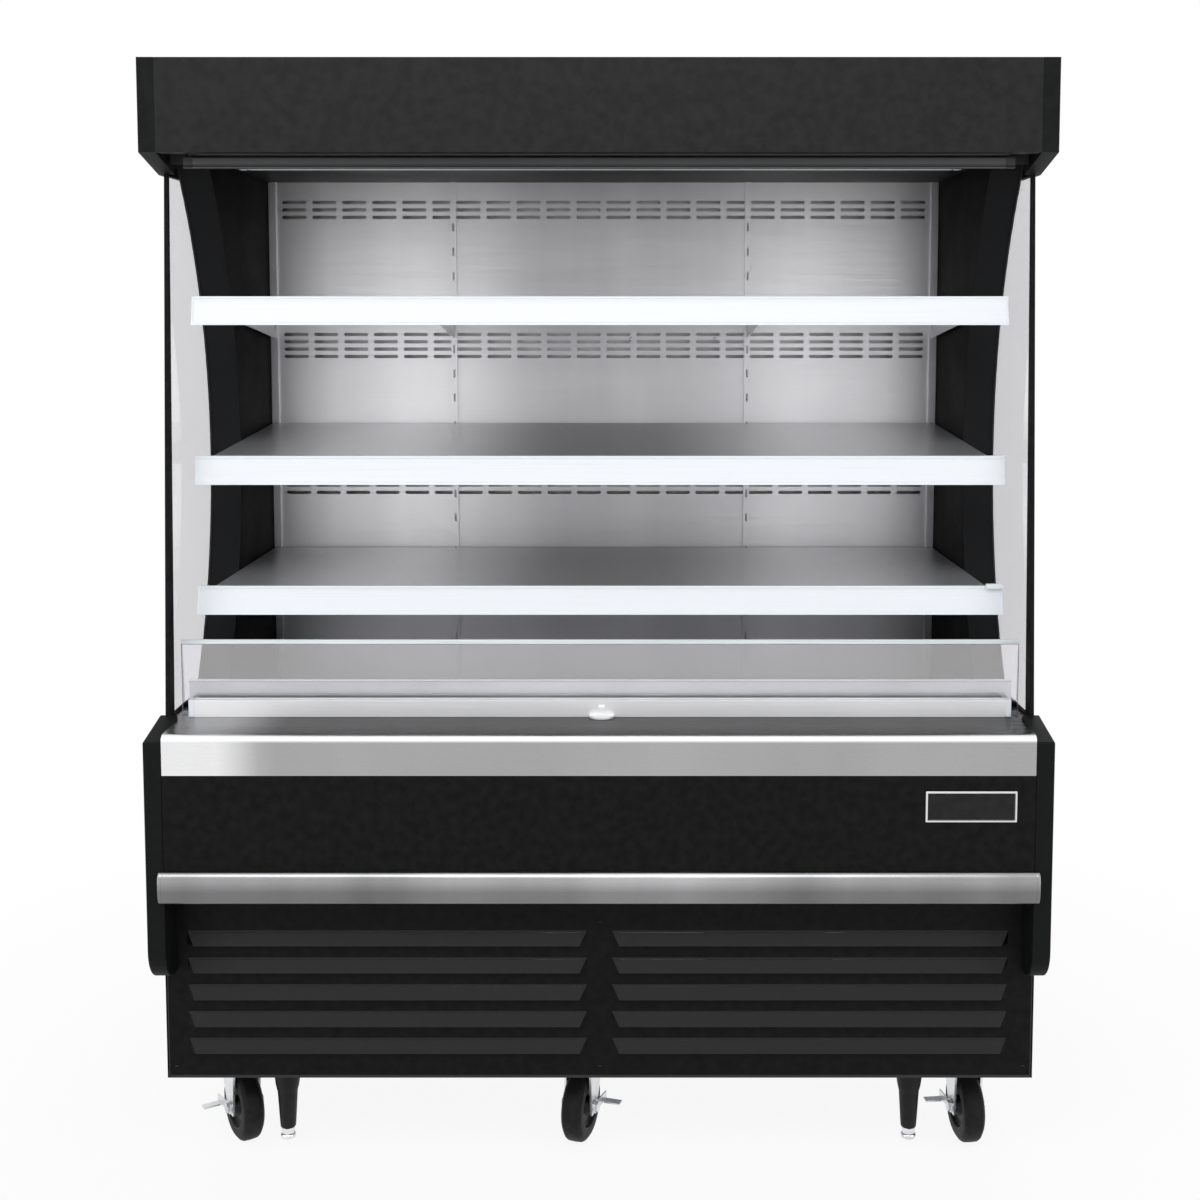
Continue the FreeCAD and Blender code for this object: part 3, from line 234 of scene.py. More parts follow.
def tone_by_place(tree, place, axis, stops):
    """Grey that changes along the X, Y or Z axis; stops are (metres, tone) in rising order."""
    split = put(tree, "ShaderNodeSeparateXYZ", Vector=place)
    first, last = stops[0][0], stops[-1][0]
    share = put(tree, "ShaderNodeMapRange", Value=split.outputs[axis], From_Min=first, From_Max=last)
    return ramp(tree, share.outputs[0], [((at - first) / (last - first), tone) for at, tone in stops])


def facing(tree, axis, least, most):
    """Mask of the faces whose normal's share along an axis has passed from least to most."""
    normal = tree.nodes.new("ShaderNodeNewGeometry").outputs["True Normal"]
    split = put(tree, "ShaderNodeSeparateXYZ", Vector=normal)
    share = put(tree, "ShaderNodeMapRange", Value=split.outputs[axis], From_Min=least, From_Max=most)
    return share.outputs[0]


def blend(tree, share, first, second, mode="MIX"):
    """Mix two colours by share."""
    made = put(tree, "ShaderNodeMix", {"data_type": "RGBA", "blend_type": mode})
    feed(tree, made.inputs[0], share)
    for socket, value in ((made.inputs[6], first), (made.inputs[7], second)):
        plain = not isinstance(value, bpy.types.NodeSocket)
        feed(tree, socket, tuple(value)[:3] + (1.0,) if plain else value)
    return made.outputs[2]


def maths(tree, operation, first, second, clamp=True):
    made = put(tree, "ShaderNodeMath", {"operation": operation, "use_clamp": clamp})
    for socket, value in zip(made.inputs, (first, second)):
        feed(tree, socket, value)
    return made.outputs[0]


def vector_maths(tree, operation, first, second=None):
    made = put(tree, "ShaderNodeVectorMath", {"operation": operation})
    feed(tree, made.inputs[0], first)
    if second is not None:
        feed(tree, made.inputs[1], second)
    return made.outputs


def new_group(name, inputs, outputs):
    """An empty shader group with named sockets; returns its tree and its two end nodes."""
    tree = bpy.data.node_groups.new(name, "ShaderNodeTree")
    for label, kind, default in inputs:
        socket = tree.interface.new_socket(name=label, in_out="INPUT", socket_type=kind)
        if default is not None:
            socket.default_value = default
    for label, kind in outputs:
        tree.interface.new_socket(name=label, in_out="OUTPUT", socket_type=kind)
    return tree, tree.nodes.new("NodeGroupInput").outputs, tree.nodes.new("NodeGroupOutput")


def use_group(tree, group, **inputs):
    made = tree.nodes.new("ShaderNodeGroup")
    made.node_tree = group
    return wire(tree, made, **inputs).outputs


def once(store):
    """Decorator: build a material or a node group once, under its function's name with spaces."""
    def mark(build):
        label = build.__name__.replace("_", " ").capitalize()

        def fetch():
            return getattr(bpy.data, store).get(label) or build(label)

        return fetch

    return mark


# ---------------------------------------------------------------- shared effects
@once("node_groups")
def brushed_grain(label):
    """Fine parallel scratches, stretched by axis."""
    tree, start, end = new_group(
        label,
        [("Vector", "NodeSocketVector", None), ("Stretch", "NodeSocketVector", (6.0, 900.0, 900.0)),
         ("Depth", "NodeSocketFloat", 0.2)],
        [("Grain", "NodeSocketFloat"), ("Normal", "NodeSocketVector")])
    placed = vector_maths(tree, "MULTIPLY", start["Vector"], start["Stretch"])[0]
    grain = noise(tree, placed, 1.0, 4.0, 0.65)
    bump = put(tree, "ShaderNodeBump", Strength=start["Depth"], Distance=0.0003, Height=grain)
    wire(tree, end, Grain=grain, Normal=bump.outputs["Normal"])
    return tree


@once("node_groups")
def soft_bands(label):
    """Broad upright bands and faint clouds: tone variation of rolled and brushed sheet, and painted soft
    reflections.
    """
    tree, start, end = new_group(
        label,
        [("Vector", "NodeSocketVector", None), ("Shift", "NodeSocketVector", (0.0, 0.0, 0.0)),
         ("Contrast", "NodeSocketFloat", 1.6)],
        [("Bands", "NodeSocketFloat")])
    placed = vector_maths(tree, "ADD", start["Vector"], start["Shift"])[0]
    wide = stretched_noise(tree, placed, (3.4, 0.2, 0.35), 1.0, 0.4)
    narrow = stretched_noise(tree, placed, (13.0, 0.6, 0.9), 2.0, 0.5, (4.0, 0.0, 0.0))
    cloud = stretched_noise(tree, placed, (2.6, 2.6, 3.4), 2.0, 0.5, (0.0, 7.0, 2.0))
    mixed = maths(tree, "ADD", maths(tree, "MULTIPLY", wide, 0.56), maths(tree, "MULTIPLY", narrow, 0.20))
    mixed = maths(tree, "ADD", mixed, maths(tree, "MULTIPLY", cloud, 0.24))
    centred = maths(tree, "SUBTRACT", mixed, 0.5, clamp=False)
    spread = maths(tree, "MULTIPLY", centred, start["Contrast"], clamp=False)
    wire(tree, end, Bands=maths(tree, "ADD", spread, 0.5))
    return tree


@once("node_groups")
def fine_coat(label):
    """Orange peel of a powder coat or the grain of a moulding, with a faint mottle."""
    tree, start, end = new_group(
        label,
        [("Vector", "NodeSocketVector", None), ("Grain", "NodeSocketFloat", 700.0),
         ("Depth", "NodeSocketFloat", 0.15)],
        [("Mottle", "NodeSocketFloat"), ("Normal", "NodeSocketVector")])
    peel = noise(tree, start["Vector"], start["Grain"], 2.0)
    mottle = noise(tree, start["Vector"], 5.0, 5.0, 0.6)
    bump = put(tree, "ShaderNodeBump", Strength=start["Depth"], Distance=0.0004, Height=peel)
    wire(tree, end, Mottle=mottle, Normal=bump.outputs["Normal"])
    return tree


@once("node_groups")
def edge_rub(label):
    """Mask of convex edges, broken up by noise: wear where handling has polished the surface, and a painted
    highlight along the edge.
    """
    tree, start, end = new_group(label, [("Vector", "NodeSocketVector", None)], [("Edge", "NodeSocketFloat")])
    geometry = tree.nodes.new("ShaderNodeNewGeometry")
    convex = ramp(tree, geometry.outputs["Pointiness"], [(0.50, 0.0), (0.58, 1.0)])
    worn = ramp(tree, noise(tree, start["Vector"], 60.0), [(0.35, 0.2), (0.65, 1.0)])
    wire(tree, end, Edge=maths(tree, "MULTIPLY", convex, worn))
    return tree


@once("node_groups")
def floor_dust(label):
    """Pale dust that gathers towards the floor."""
    tree, start, end = new_group(
        label, [("Vector", "NodeSocketVector", None), ("Height", "NodeSocketFloat", 0.12)],
        [("Dust", "NodeSocketFloat")])
    split = put(tree, "ShaderNodeSeparateXYZ", Vector=start["Vector"])
    fall = put(tree, "ShaderNodeMapRange", Value=split.outputs["Z"], From_Max=start["Height"], To_Min=1.0,
               To_Max=0.0)
    patch = ramp(tree, noise(tree, start["Vector"], 90.0, 4.0), [(0.42, 0.0), (0.72, 0.5)])
    wire(tree, end, Dust=maths(tree, "MULTIPLY", fall.outputs[0], patch))
    return tree


# ---------------------------------------------------------------- materials
def started(name):
    """A new material with its tree, its Principled node and the object's coordinates."""
    made = bpy.data.materials.new(name)
    made.use_nodes = True
    tree = made.node_tree
    shader = tree.nodes["Principled BSDF"]
    place = tree.nodes.new("ShaderNodeTexCoord").outputs["Object"]
    return made, tree, shader, place


def end_with_mix(tree, share, shader, other):
    """End a material or the world with a mix of two shaders."""
    mix = tree.nodes.new("ShaderNodeMixShader")
    for socket, value in zip(mix.inputs, (share, shader.outputs[0], other.outputs[0])):
        tree.links.new(value, socket)
    ends = [node for node in tree.nodes if node.type in ("OUTPUT_MATERIAL", "OUTPUT_WORLD")]
    tree.links.new(mix.outputs[0], ends[0].inputs["Surface"])


def seen_rays(tree):
    """1 for rays that end in the picture directly, by mirroring or through glass."""
    path = tree.nodes.new("ShaderNodeLightPath").outputs
    seen = maths(tree, "MAXIMUM", path["Is Camera Ray"], path["Is Glossy Ray"])
    return maths(tree, "MAXIMUM", seen, path["Is Transmission Ray"])


def coated(name, colour, grain=700.0, depth=0.12, roughness=(0.36, 0.50), shine=0.25, wear_and_highlight=0.30,
           dust=0.0, paler=None):
    """Painted or moulded surface: fine grain, faint mottle, edges lighter from wear and a painted edge
    highlight, dust near the floor.

    paler is (axis, least, most, colour): faces turned along the axis take that colour."""
    if name in bpy.data.materials:
        return bpy.data.materials[name]
    made, tree, shader, place = started(name)
    coat = use_group(tree, fine_coat(), Vector=place, Grain=grain, Depth=depth)
    base = Vector(colour)
    tone = ramp(tree, coat["Mottle"], [(0.35, base * 0.96), (0.65, base * 1.04)])
    if paler:
        tone = blend(tree, facing(tree, *paler[:3]), tone, paler[3])
    edge = use_group(tree, edge_rub(), Vector=place)["Edge"]
    # Convex edges lighten: polish from wear, and a painted highlight where the share is strong.
    tone = blend(tree, maths(tree, "MULTIPLY", edge, wear_and_highlight), tone, base * 2.4 + Vector((0.012,) * 3))
    if dust:
        grey = use_group(tree, floor_dust(), Vector=place)["Dust"]
        tone = blend(tree, maths(tree, "MULTIPLY", grey, dust), tone, (0.32, 0.30, 0.27))
    rough = ramp(tree, coat["Mottle"], [(0.3, roughness[0]), (0.7, roughness[1])])
    wire(tree, shader, Base_Color=tone, Roughness=rough, Normal=coat["Normal"], Specular_IOR_Level=shine)
    return made


def brushed(name, dark, light, stretch=(7.0, 800.0, 800.0), depth=0.10, roughness=(0.26, 0.40),
            shift=(0.0, 0.0, 0.0), contrast=1.8, grain_share=0.16, painted_light_bands=0.0, painted_shades=(), painted_glints=(),
            metallic=1.0, sidelong=(1.0, 1.0, 1.0)):
    """Brushed metal sheet: grain along the rolling direction and broad soft bands across it, part tone
    variation of the sheet and part painted reflection.

    The wave share gives two wide bands of painted reflected light, left and right of the middle. The shade
    and glint lists are (axis, stops) as tone_by_place takes them: a shade multiplies the colour as painted
    shade, a glint is a share of light, a painted highlight. sidelong tints what the sheet mirrors at a flat
    angle."""
    if name in bpy.data.materials:
        return bpy.data.materials[name]
    made, tree, shader, place = started(name)
    bands = use_group(tree, soft_bands(), Vector=place, Shift=shift, Contrast=contrast)["Bands"]
    grain = use_group(tree, brushed_grain(), Vector=place, Stretch=stretch, Depth=depth)
    # Two wide bands of painted reflected light, left and right of the middle.
    if painted_light_bands:
        painted_light_swell = put(tree, "ShaderNodeTexWave", {"bands_direction": "X", "wave_profile": "SIN"}, Vector=place,
                    Scale=0.36, Distortion=0.5, Detail=1.0, Detail_Scale=0.8)
        bands = maths(tree, "ADD", maths(tree, "MULTIPLY", bands, 1.0 - painted_light_bands),
                      maths(tree, "MULTIPLY", painted_light_swell.outputs["Fac"], painted_light_bands))
    tone = ramp(tree, bands, [(0.12, dark), (0.5, (Vector(dark) + Vector(light)) / 2), (0.88, light)])
    # Painted shade: each list multiplies the colour along an axis.
    for axis, stops in painted_shades:
        tone = blend(tree, 1.0, tone, tone_by_place(tree, place, axis, stops), "MULTIPLY")
    # Painted highlights: each list blends the light tone in along an axis.
    for axis, stops in painted_glints:
        tone = blend(tree, tone_by_place(tree, place, axis, stops), tone, light)
    fine = ramp(tree, grain["Grain"], [(0.3, 0.72), (0.7, 1.0)])
    tone = blend(tree, grain_share, tone, blend(tree, 1.0, tone, fine, "MULTIPLY"))
    rough = ramp(tree, grain["Grain"], [(0.25, roughness[0]), (0.75, roughness[1])])
    wire(tree, shader, Base_Color=tone, Roughness=rough, Normal=grain["Normal"], Metallic=metallic,
         Specular_Tint=tuple(sidelong) + (1.0,))
    return made


def fascia_paint():
    return coated("Fascia paint", colours().fascia, roughness=(0.44, 0.47), shine=0.13)


def body_paint():
    return coated("Body paint", colours().paint, roughness=(0.48, 0.51), shine=0.06)


def louvre_paint():
    # The hoods' upward faces take a lighter grey: painted light from above.
    return coated("Louvre paint", Vector(colours().paint) * 0.60, roughness=(0.47, 0.50), shine=0.09,
                  wear_and_highlight=0.25, dust=0.25, paler=("Z", 0.12, 0.34, (0.025, 0.025, 0.0255)))


def liner_paint():
    # The strong edge share paints a highlight along the lining's corners.
    return coated("Liner paint", (0.0020, 0.0020, 0.0022), grain=420.0, roughness=(0.52, 0.64), shine=0.03,
                  wear_and_highlight=0.5, paler=("Y", -0.30, -0.85, (0.016, 0.016, 0.0165)))


def ceiling_paint():
    return coated("Ceiling paint", (0.036, 0.036, 0.033), grain=420.0, roughness=(0.46, 0.54), shine=0.10,
                  wear_and_highlight=0.1)


def moulded_black():
    return coated("Moulded black", colours().moulding, grain=1150.0, depth=0.30, roughness=(0.50, 0.62),
                  shine=0.10, wear_and_highlight=0.25)


def leg_plastic():
    return coated("Leg plastic", (0.006, 0.006, 0.0063), grain=900.0, depth=0.20, roughness=(0.40, 0.55),
                  shine=0.20, dust=0.10)


def fan_plastic():
    return coated("Fan plastic", (0.030, 0.030, 0.033), grain=900.0, depth=0.15, roughness=(0.40, 0.5))


def dark_plug():
    return coated("Dark plug", (0.045, 0.045, 0.047), grain=900.0, roughness=(0.42, 0.54))


def diffuser_plastic():
    return coated("Diffuser plastic", (0.86, 0.88, 0.90), grain=300.0, depth=0.10, roughness=(0.38, 0.50),
                  shine=0.5, wear_and_highlight=0.0)


def seal_rubber():
    return coated("Seal rubber", (0.012, 0.012, 0.013), grain=500.0, depth=0.25, roughness=(0.60, 0.75),
                  shine=0.35, wear_and_highlight=0.15)


def tread_rubber():
    return coated("Tread rubber", (0.006, 0.006, 0.0063), grain=350.0, depth=0.35, roughness=(0.50, 0.66),
                  shine=0.15, wear_and_highlight=0.20, dust=0.10)


def compressor_enamel():
    return coated("Compressor enamel", (0.010, 0.010, 0.011), grain=260.0, depth=0.20,
                  roughness=(0.18, 0.28), shine=0.5)


def sill_steel():
    """Brushed sheet with painted reflection: painted highlights at its left end and along its rounded edge,
    painted shade on its top.
    """
    # Painted shade: the top face darker, and the sheet darker except towards its left end.
    top = (SILL_Z - 0.0015, 1.0), (SILL_Z - 0.0002, 0.30)
    painted_light_across = (-0.64, 0.90), (-0.57, 0.46), (0.30, 0.43), (SKIN_X, 0.44)
    # Painted highlights: at the left end, and along the rounded edge.
    end = (-0.64, 0.35), (-0.54, 0.0)
    painted_fold_highlight = (SILL_Z - 0.0130, 0.0), (SILL_Z - 0.0085, 0.95), (SILL_Z - 0.0020, 0.95), (SILL_Z - 0.0005, 0.0)
    return brushed("Sill steel", (0.84, 0.84, 0.85), (0.99, 0.99, 1.0), roughness=(0.20, 0.34), contrast=2.4,
                   shift=(0.35, 0.0, 0.0), painted_shades=(("Z", top), ("X", painted_light_across)), painted_glints=(("Z", painted_fold_highlight), ("X", end)),
                   sidelong=(0.58, 0.58, 0.58))


def guard_steel():
    steel = Vector(colours().steel)
    return brushed("Guard steel", steel * 1.05, steel * 1.40, roughness=(0.26, 0.38))


def channel_steel():
    """Satin sheet of the guard channel and the hook."""
    return brushed("Channel steel", (0.88, 0.88, 0.89), (0.99, 0.99, 1.0), roughness=(0.40, 0.50),
                   metallic=0.55)


def duct_steel():
    # Painted shadows of the shelves on the wall: darker below the second shelf, darkest below the lowest.
    painted_shade_by_height = (0.93, 0.70), (1.00, 0.88), (1.22, 0.90), (1.28, 1.0)
    # Painted reflection: the wall lighter at its sides than in the middle; the wave share adds two painted
    # light bands.
    painted_light_across = (-0.42, 1.0), (-0.12, 0.87), (0.16, 0.87), (0.42, 1.0)
    return brushed("Duct steel", (0.57, 0.565, 0.595), (0.98, 0.975, 0.995), roughness=(0.36, 0.50),
                   contrast=2.2, shift=(0.9, 0.0, 0.4), depth=0.06, painted_light_bands=0.42,
                   painted_shades=(("Z", painted_shade_by_height), ("X", painted_light_across)))


def shelf_steel():
    # Painted highlight on the lowest shelf; the wave share paints light bands of reflection across the tops.
    painted_low_shelf_highlight = (1.05, 0.20), (1.20, 0.0)
    return brushed("Shelf steel", (0.28, 0.28, 0.285), (0.99, 0.99, 1.0), roughness=(0.26, 0.38),
                   contrast=3.0, shift=(1.7, 0.0, 0.0), stretch=(800.0, 8.0, 800.0), painted_light_bands=0.8,
                   painted_glints=(("Z", painted_low_shelf_highlight),), metallic=0.75)


def return_steel():
    return brushed("Return steel", (0.640, 0.635, 0.665), (0.940, 0.935, 0.960), roughness=(0.34, 0.48),
                   shift=(2.6, 0.0, 0.3))


def curtain_metal():
    return brushed("Curtain metal", (0.085, 0.085, 0.088), (0.125, 0.125, 0.130), roughness=(0.34, 0.46),
                   contrast=1.2)


@once("materials")
def fin_metal(label):
    """Thin aluminium fins."""
    made, tree, shader, place = started(label)
    grain = use_group(tree, brushed_grain(), Vector=place, Stretch=(700.0, 20.0, 20.0), Depth=0.08)["Grain"]
    tone = ramp(tree, grain, [(0.3, (0.46, 0.47, 0.48)), (0.7, (0.66, 0.67, 0.68))])
    wire(tree, shader, Base_Color=tone, Roughness=ramp(tree, grain, [(0.3, 0.30), (0.7, 0.48)]), Metallic=1.0)
    return made


@once("materials")
def zinc_plate(label):
    """Zinc plating: cool grey with a faint straw tint in patches."""
    made, tree, shader, place = started(label)
    cloud = noise(tree, place, 26.0, 4.0, 0.6)
    tone = ramp(tree, cloud, [(0.30, (0.66, 0.67, 0.69)), (0.62, (0.82, 0.83, 0.85)),
                              (0.78, (0.84, 0.83, 0.78))])
    grey = use_group(tree, floor_dust(), Vector=place)["Dust"]
    tone = blend(tree, maths(tree, "MULTIPLY", grey, 0.15), tone, (0.30, 0.28, 0.25))
    peel = use_group(tree, fine_coat(), Vector=place, Grain=320.0, Depth=0.15)
    wire(tree, shader, Base_Color=tone, Roughness=ramp(tree, cloud, [(0.3, 0.24), (0.7, 0.40)]),
         Normal=peel["Normal"], Metallic=1.0)
    return made


def galvanised(name="Galvanised sheet", painted_y=None):
    """Hot-dip spangle: flat crystals of slightly different grey; painted black in front of painted_y."""
    if name in bpy.data.materials:
        return bpy.data.materials[name]
    made, tree, shader, place = started(name)
    crystal = put(tree, "ShaderNodeTexVoronoi", Vector=place, Scale=95.0, Randomness=1.0)
    flake = put(tree, "ShaderNodeSeparateColor", Color=crystal.outputs["Color"]).outputs[0]
    tone = ramp(tree, flake, [(0.0, (0.33, 0.34, 0.36)), (1.0, (0.52, 0.53, 0.55))])
    shade = ramp(tree, noise(tree, place, 3.0), [(0.3, 0.82), (0.7, 1.0)])
    tone = blend(tree, 1.0, tone, shade, "MULTIPLY")
    bare = 1.0
    if painted_y is not None:
        bare = tone_by_place(tree, place, "Y", ((painted_y - 0.0002, 0.0), (painted_y + 0.0002, 1.0)))
        tone = blend(tree, bare, colours().paint, tone)
    rough = ramp(tree, flake, [(0.0, 0.34), (1.0, 0.52)])
    wire(tree, shader, Base_Color=tone, Metallic=bare, Roughness=rough)
    return made


@once("materials")
def strip_plastic(label):
    """White extruded plastic, a little cool, with very fine draw lines along its length."""
    made, tree, shader, place = started(label)
    white = Vector(colours().strip)
    drawn = use_group(tree, brushed_grain(), Vector=place, Stretch=(3.0, 500.0, 500.0), Depth=0.03)
    tone = ramp(tree, drawn["Grain"], [(0.3, white * 0.975), (0.7, white)])
    wire(tree, shader, Base_Color=tone, Roughness=ramp(tree, drawn["Grain"], [(0.3, 0.26), (0.7, 0.34)]),
         Normal=drawn["Normal"])
    return made


@once("materials")
def rigid_foam(label):
    """Cut rigid foam: pale straw with open cells."""
    made, tree, shader, place = started(label)
    cell = put(tree, "ShaderNodeTexVoronoi", Vector=place, Scale=420.0).outputs["Distance"]
    tone = ramp(tree, cell, [(0.1, (0.66, 0.55, 0.30)), (0.7, (0.80, 0.71, 0.46))])
    bump = put(tree, "ShaderNodeBump", Strength=0.4, Distance=0.0006, Height=cell)
    wire(tree, shader, Base_Color=tone, Normal=bump.outputs["Normal"], Roughness=0.85)
    return made


def window_glass(name="Window glass", tint=(0.895, 0.89, 0.915), edge=(0.86, 0.88, 0.90), index=1.22):
    """Clear glass that lets the lamps through."""
    if name in bpy.data.materials:
        return bpy.data.materials[name]
    made, tree, shader, place = started(name)
    haze = noise(tree, place, 4.0, 4.0)
    tone = ramp(tree, haze, [(0.35, Vector(tint) * 0.985), (0.65, Vector(tint))])
    wire(tree, shader, Base_Color=tone, Roughness=0.02, Transmission_Weight=1.0, IOR=index)
    clear = put(tree, "ShaderNodeBsdfTransparent", Color=tuple(edge) + (1.0,))
    path = tree.nodes.new("ShaderNodeLightPath").outputs
    lit = maths(tree, "MAXIMUM", path["Is Shadow Ray"], path["Is Diffuse Ray"])
    end_with_mix(tree, lit, shader, clear)
    return made


@once("materials")
def polished_edge(label):
    """Opaque pale band at the top of a glass sheet: a painted highlight in place of its lit polished edge."""
    made, tree, shader, place = started(label)
    streak = stretched_noise(tree, place, (5.0, 400.0, 400.0), 3.0)
    tone = ramp(tree, streak, [(0.3, (0.66, 0.72, 0.74)), (0.7, (0.90, 0.94, 0.95))])
    wire(tree, shader, Base_Color=tone, Roughness=ramp(tree, streak, [(0.3, 0.10), (0.7, 0.22)]))
    return made


@once("materials")
def curtain_weave(label):
    """Plain weave with small regular holes, as a shading value on the cloth."""
    made, tree, shader, place = started(label)
    cloth = Vector(colours().cloth)
    across = put(tree, "ShaderNodeTexWave", {"bands_direction": "X"}, Vector=place, Scale=260.0)
    along = put(tree, "ShaderNodeTexWave", {"bands_direction": "Z"}, Vector=place, Scale=260.0)
    thread = maths(tree, "MULTIPLY", across.outputs["Fac"], along.outputs["Fac"])
    bump = put(tree, "ShaderNodeBump", Strength=0.35, Distance=0.0003, Height=thread)
    wire(tree, shader, Base_Color=ramp(tree, thread, [(0.0, cloth * 0.72), (0.6, cloth)]),
         Normal=bump.outputs["Normal"], Roughness=0.72, Sheen_Weight=0.25)
    return made


# ---------------------------------------------------------------- mesh helpers
def merged_copy(node):
    """The node's solids as one clean mesh: doubles merged and flat faces joined."""
    solid = bmesh.new()
    solid.from_mesh(frame["nodes"][node].data)
    bmesh.ops.remove_doubles(solid, verts=solid.verts, dist=MERGE_DISTANCE)
    bmesh.ops.dissolve_limit(solid, angle_limit=FLAT_ANGLE, verts=solid.verts, edges=solid.edges)
    return solid


def soften(solid, radius, segments=2, keep=None):
    """Round the sharp edges that keep accepts, or all of them."""
    sharp = [edge for edge in solid.edges if len(edge.link_faces) == 2]
    sharp = [edge for edge in sharp if edge.calc_face_angle(0.0) > BEVEL_ANGLE]
    if keep:
        sharp = [edge for edge in sharp if keep(edge)]
    bmesh.ops.bevel(solid, geom=sharp, offset=radius, offset_type="OFFSET", segments=segments, profile=0.5,
                    affect="EDGES", clamp_overlap=True, material=-1, loop_slide=True)
    return solid


def moved(part, matrix):
    bmesh.ops.transform(part, matrix=matrix, space=Matrix.Identity(4), verts=part.verts)
    return part


def joined(parts):
    """Bring separate parts into one mesh."""
    whole = bmesh.new()
    for part in parts:
        scrap = bpy.data.meshes.new("part")
        part.to_mesh(scrap)
        part.free()
        whole.from_mesh(scrap)
        bpy.data.meshes.remove(scrap)
    return whole


def block(lowest, highest, edge=0.0, segments=2):
    """Box between two corners, with rounded edges."""
    part = bmesh.new()
    made = bmesh.ops.create_cube(part, size=1.0)
    lowest, highest = Vector(lowest), Vector(highest)
    bmesh.ops.scale(part, vec=highest - lowest, verts=made["verts"])
    bmesh.ops.translate(part, vec=(highest + lowest) / 2, verts=made["verts"])
    return soften(part, edge, segments) if edge else part


def rod(radius, start, end, sides=24, edge=0.0, end_radius=None):
    """Cylinder or cone between two points."""
    start, end = Vector(start), Vector(end)
    axis = end - start
    part = bmesh.new()
    bmesh.ops.create_cone(part, cap_ends=True, cap_tris=False, segments=sides, radius1=radius,
                          radius2=radius if end_radius is None else end_radius, depth=axis.length)
    turn = Z_AXIS.rotation_difference(axis).to_matrix().to_4x4()
    moved(part, Matrix.Translation((start + end) / 2) @ turn)
    return soften(part, edge) if edge else part


def turned(profile, start, axis, steps=40):
    """Spin (along, radius) points round the axis through start."""
    part = bmesh.new()
    points = [part.verts.new((radius, 0.0, along)) for along, radius in profile]
    edges = [part.edges.new(pair) for pair in zip(points, points[1:])]
    bmesh.ops.spin(part, geom=points + edges, cent=(0, 0, 0), axis=Z_AXIS, dvec=(0, 0, 0),
                   angle=2 * math.pi, steps=steps, use_merge=True, use_duplicate=False)
    bmesh.ops.remove_doubles(part, verts=part.verts, dist=MERGE_DISTANCE)
    bmesh.ops.recalc_face_normals(part, faces=part.faces)
    turn = Z_AXIS.rotation_difference(Vector(axis)).to_matrix().to_4x4()
    return moved(part, Matrix.Translation(Vector(start)) @ turn)


def prism(points, offset):
    """Solid between a flat outline and the same outline moved by offset."""
    part = bmesh.new()
    face = part.faces.new([part.verts.new(point) for point in points])
    made = bmesh.ops.extrude_face_region(part, geom=[face])
    far = [item for item in made["geom"] if isinstance(item, bmesh.types.BMVert)]
    bmesh.ops.translate(part, vec=offset, verts=far)
    bmesh.ops.recalc_face_normals(part, faces=part.faces)
    return part


def extruded(outline, x0, x1):
    """Prism from x0 to x1 over a closed (y, z) outline."""
    return prism([(x0, y, z) for y, z in outline], (x1 - x0, 0, 0))


def mirrored(part):
    """The same part on the other side of the middle plane, with its faces outwards."""
    twin = moved(part.copy(), Matrix.Diagonal((-1, 1, 1, 1)))
    bmesh.ops.reverse_faces(twin, faces=twin.faces)
    return twin


def pair(part):
    return [part, mirrored(part)]


def screw(place, axis, radius=None):
    """Low domed screw head with a shallow recess; its seat is at place."""
    radius = radius or sizes().screw_head
    height = radius * 0.55
    profile = [(0.0, radius), (height * 0.35, radius), (height * 0.8, radius * 0.75), (height, radius * 0.42),
               (height * 0.35, radius * 0.36), (height * 0.35, 0.0)]
    return turned(profile, place, axis, 12)


def linked(name, part):
    """A new object in the scene that holds the finished mesh."""
    mesh = bpy.data.meshes.new(name)
    part.to_mesh(mesh)
    part.free()
    piece = bpy.data.objects.new(name, mesh)
    bpy.context.scene.collection.objects.link(piece)
    return piece


def show(name, solid, body, slot, material, *nodes):
    """Turn a finished mesh into a piece that rides on a body and stands for the named nodes."""
    piece = linked(name, solid)
    piece.data.shade_smooth()
    piece.data.set_sharp_from_angle(angle=SMOOTH_ANGLE)
    piece.data.materials.append(material)
    weighted = piece.modifiers.new("Weighted normals", "WEIGHTED_NORMAL")
    weighted.keep_sharp = True
    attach(piece, body)
    if nodes:
        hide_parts(*nodes)
    return piece


def body_of(node):
    return frame["nodes"][node]["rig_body"]


def slot_of(node):
    parts = frame["record"]["subparts"]
    return next(part["material_slot"] for part in parts if part["node"] == node)


def refine(node, name, material, edge, segments=2, keep=None):
    """Replace a node by its own shape with rounded edges."""
    solid = soften(merged_copy(node), edge, segments, keep)
    return show(name, solid, body_of(node), slot_of(node), material, node)


def dress(node, material):
    """Give a node that keeps its own mesh a finish."""
    materials = frame["nodes"][node].data.materials
    materials.clear()
    materials.append(material)


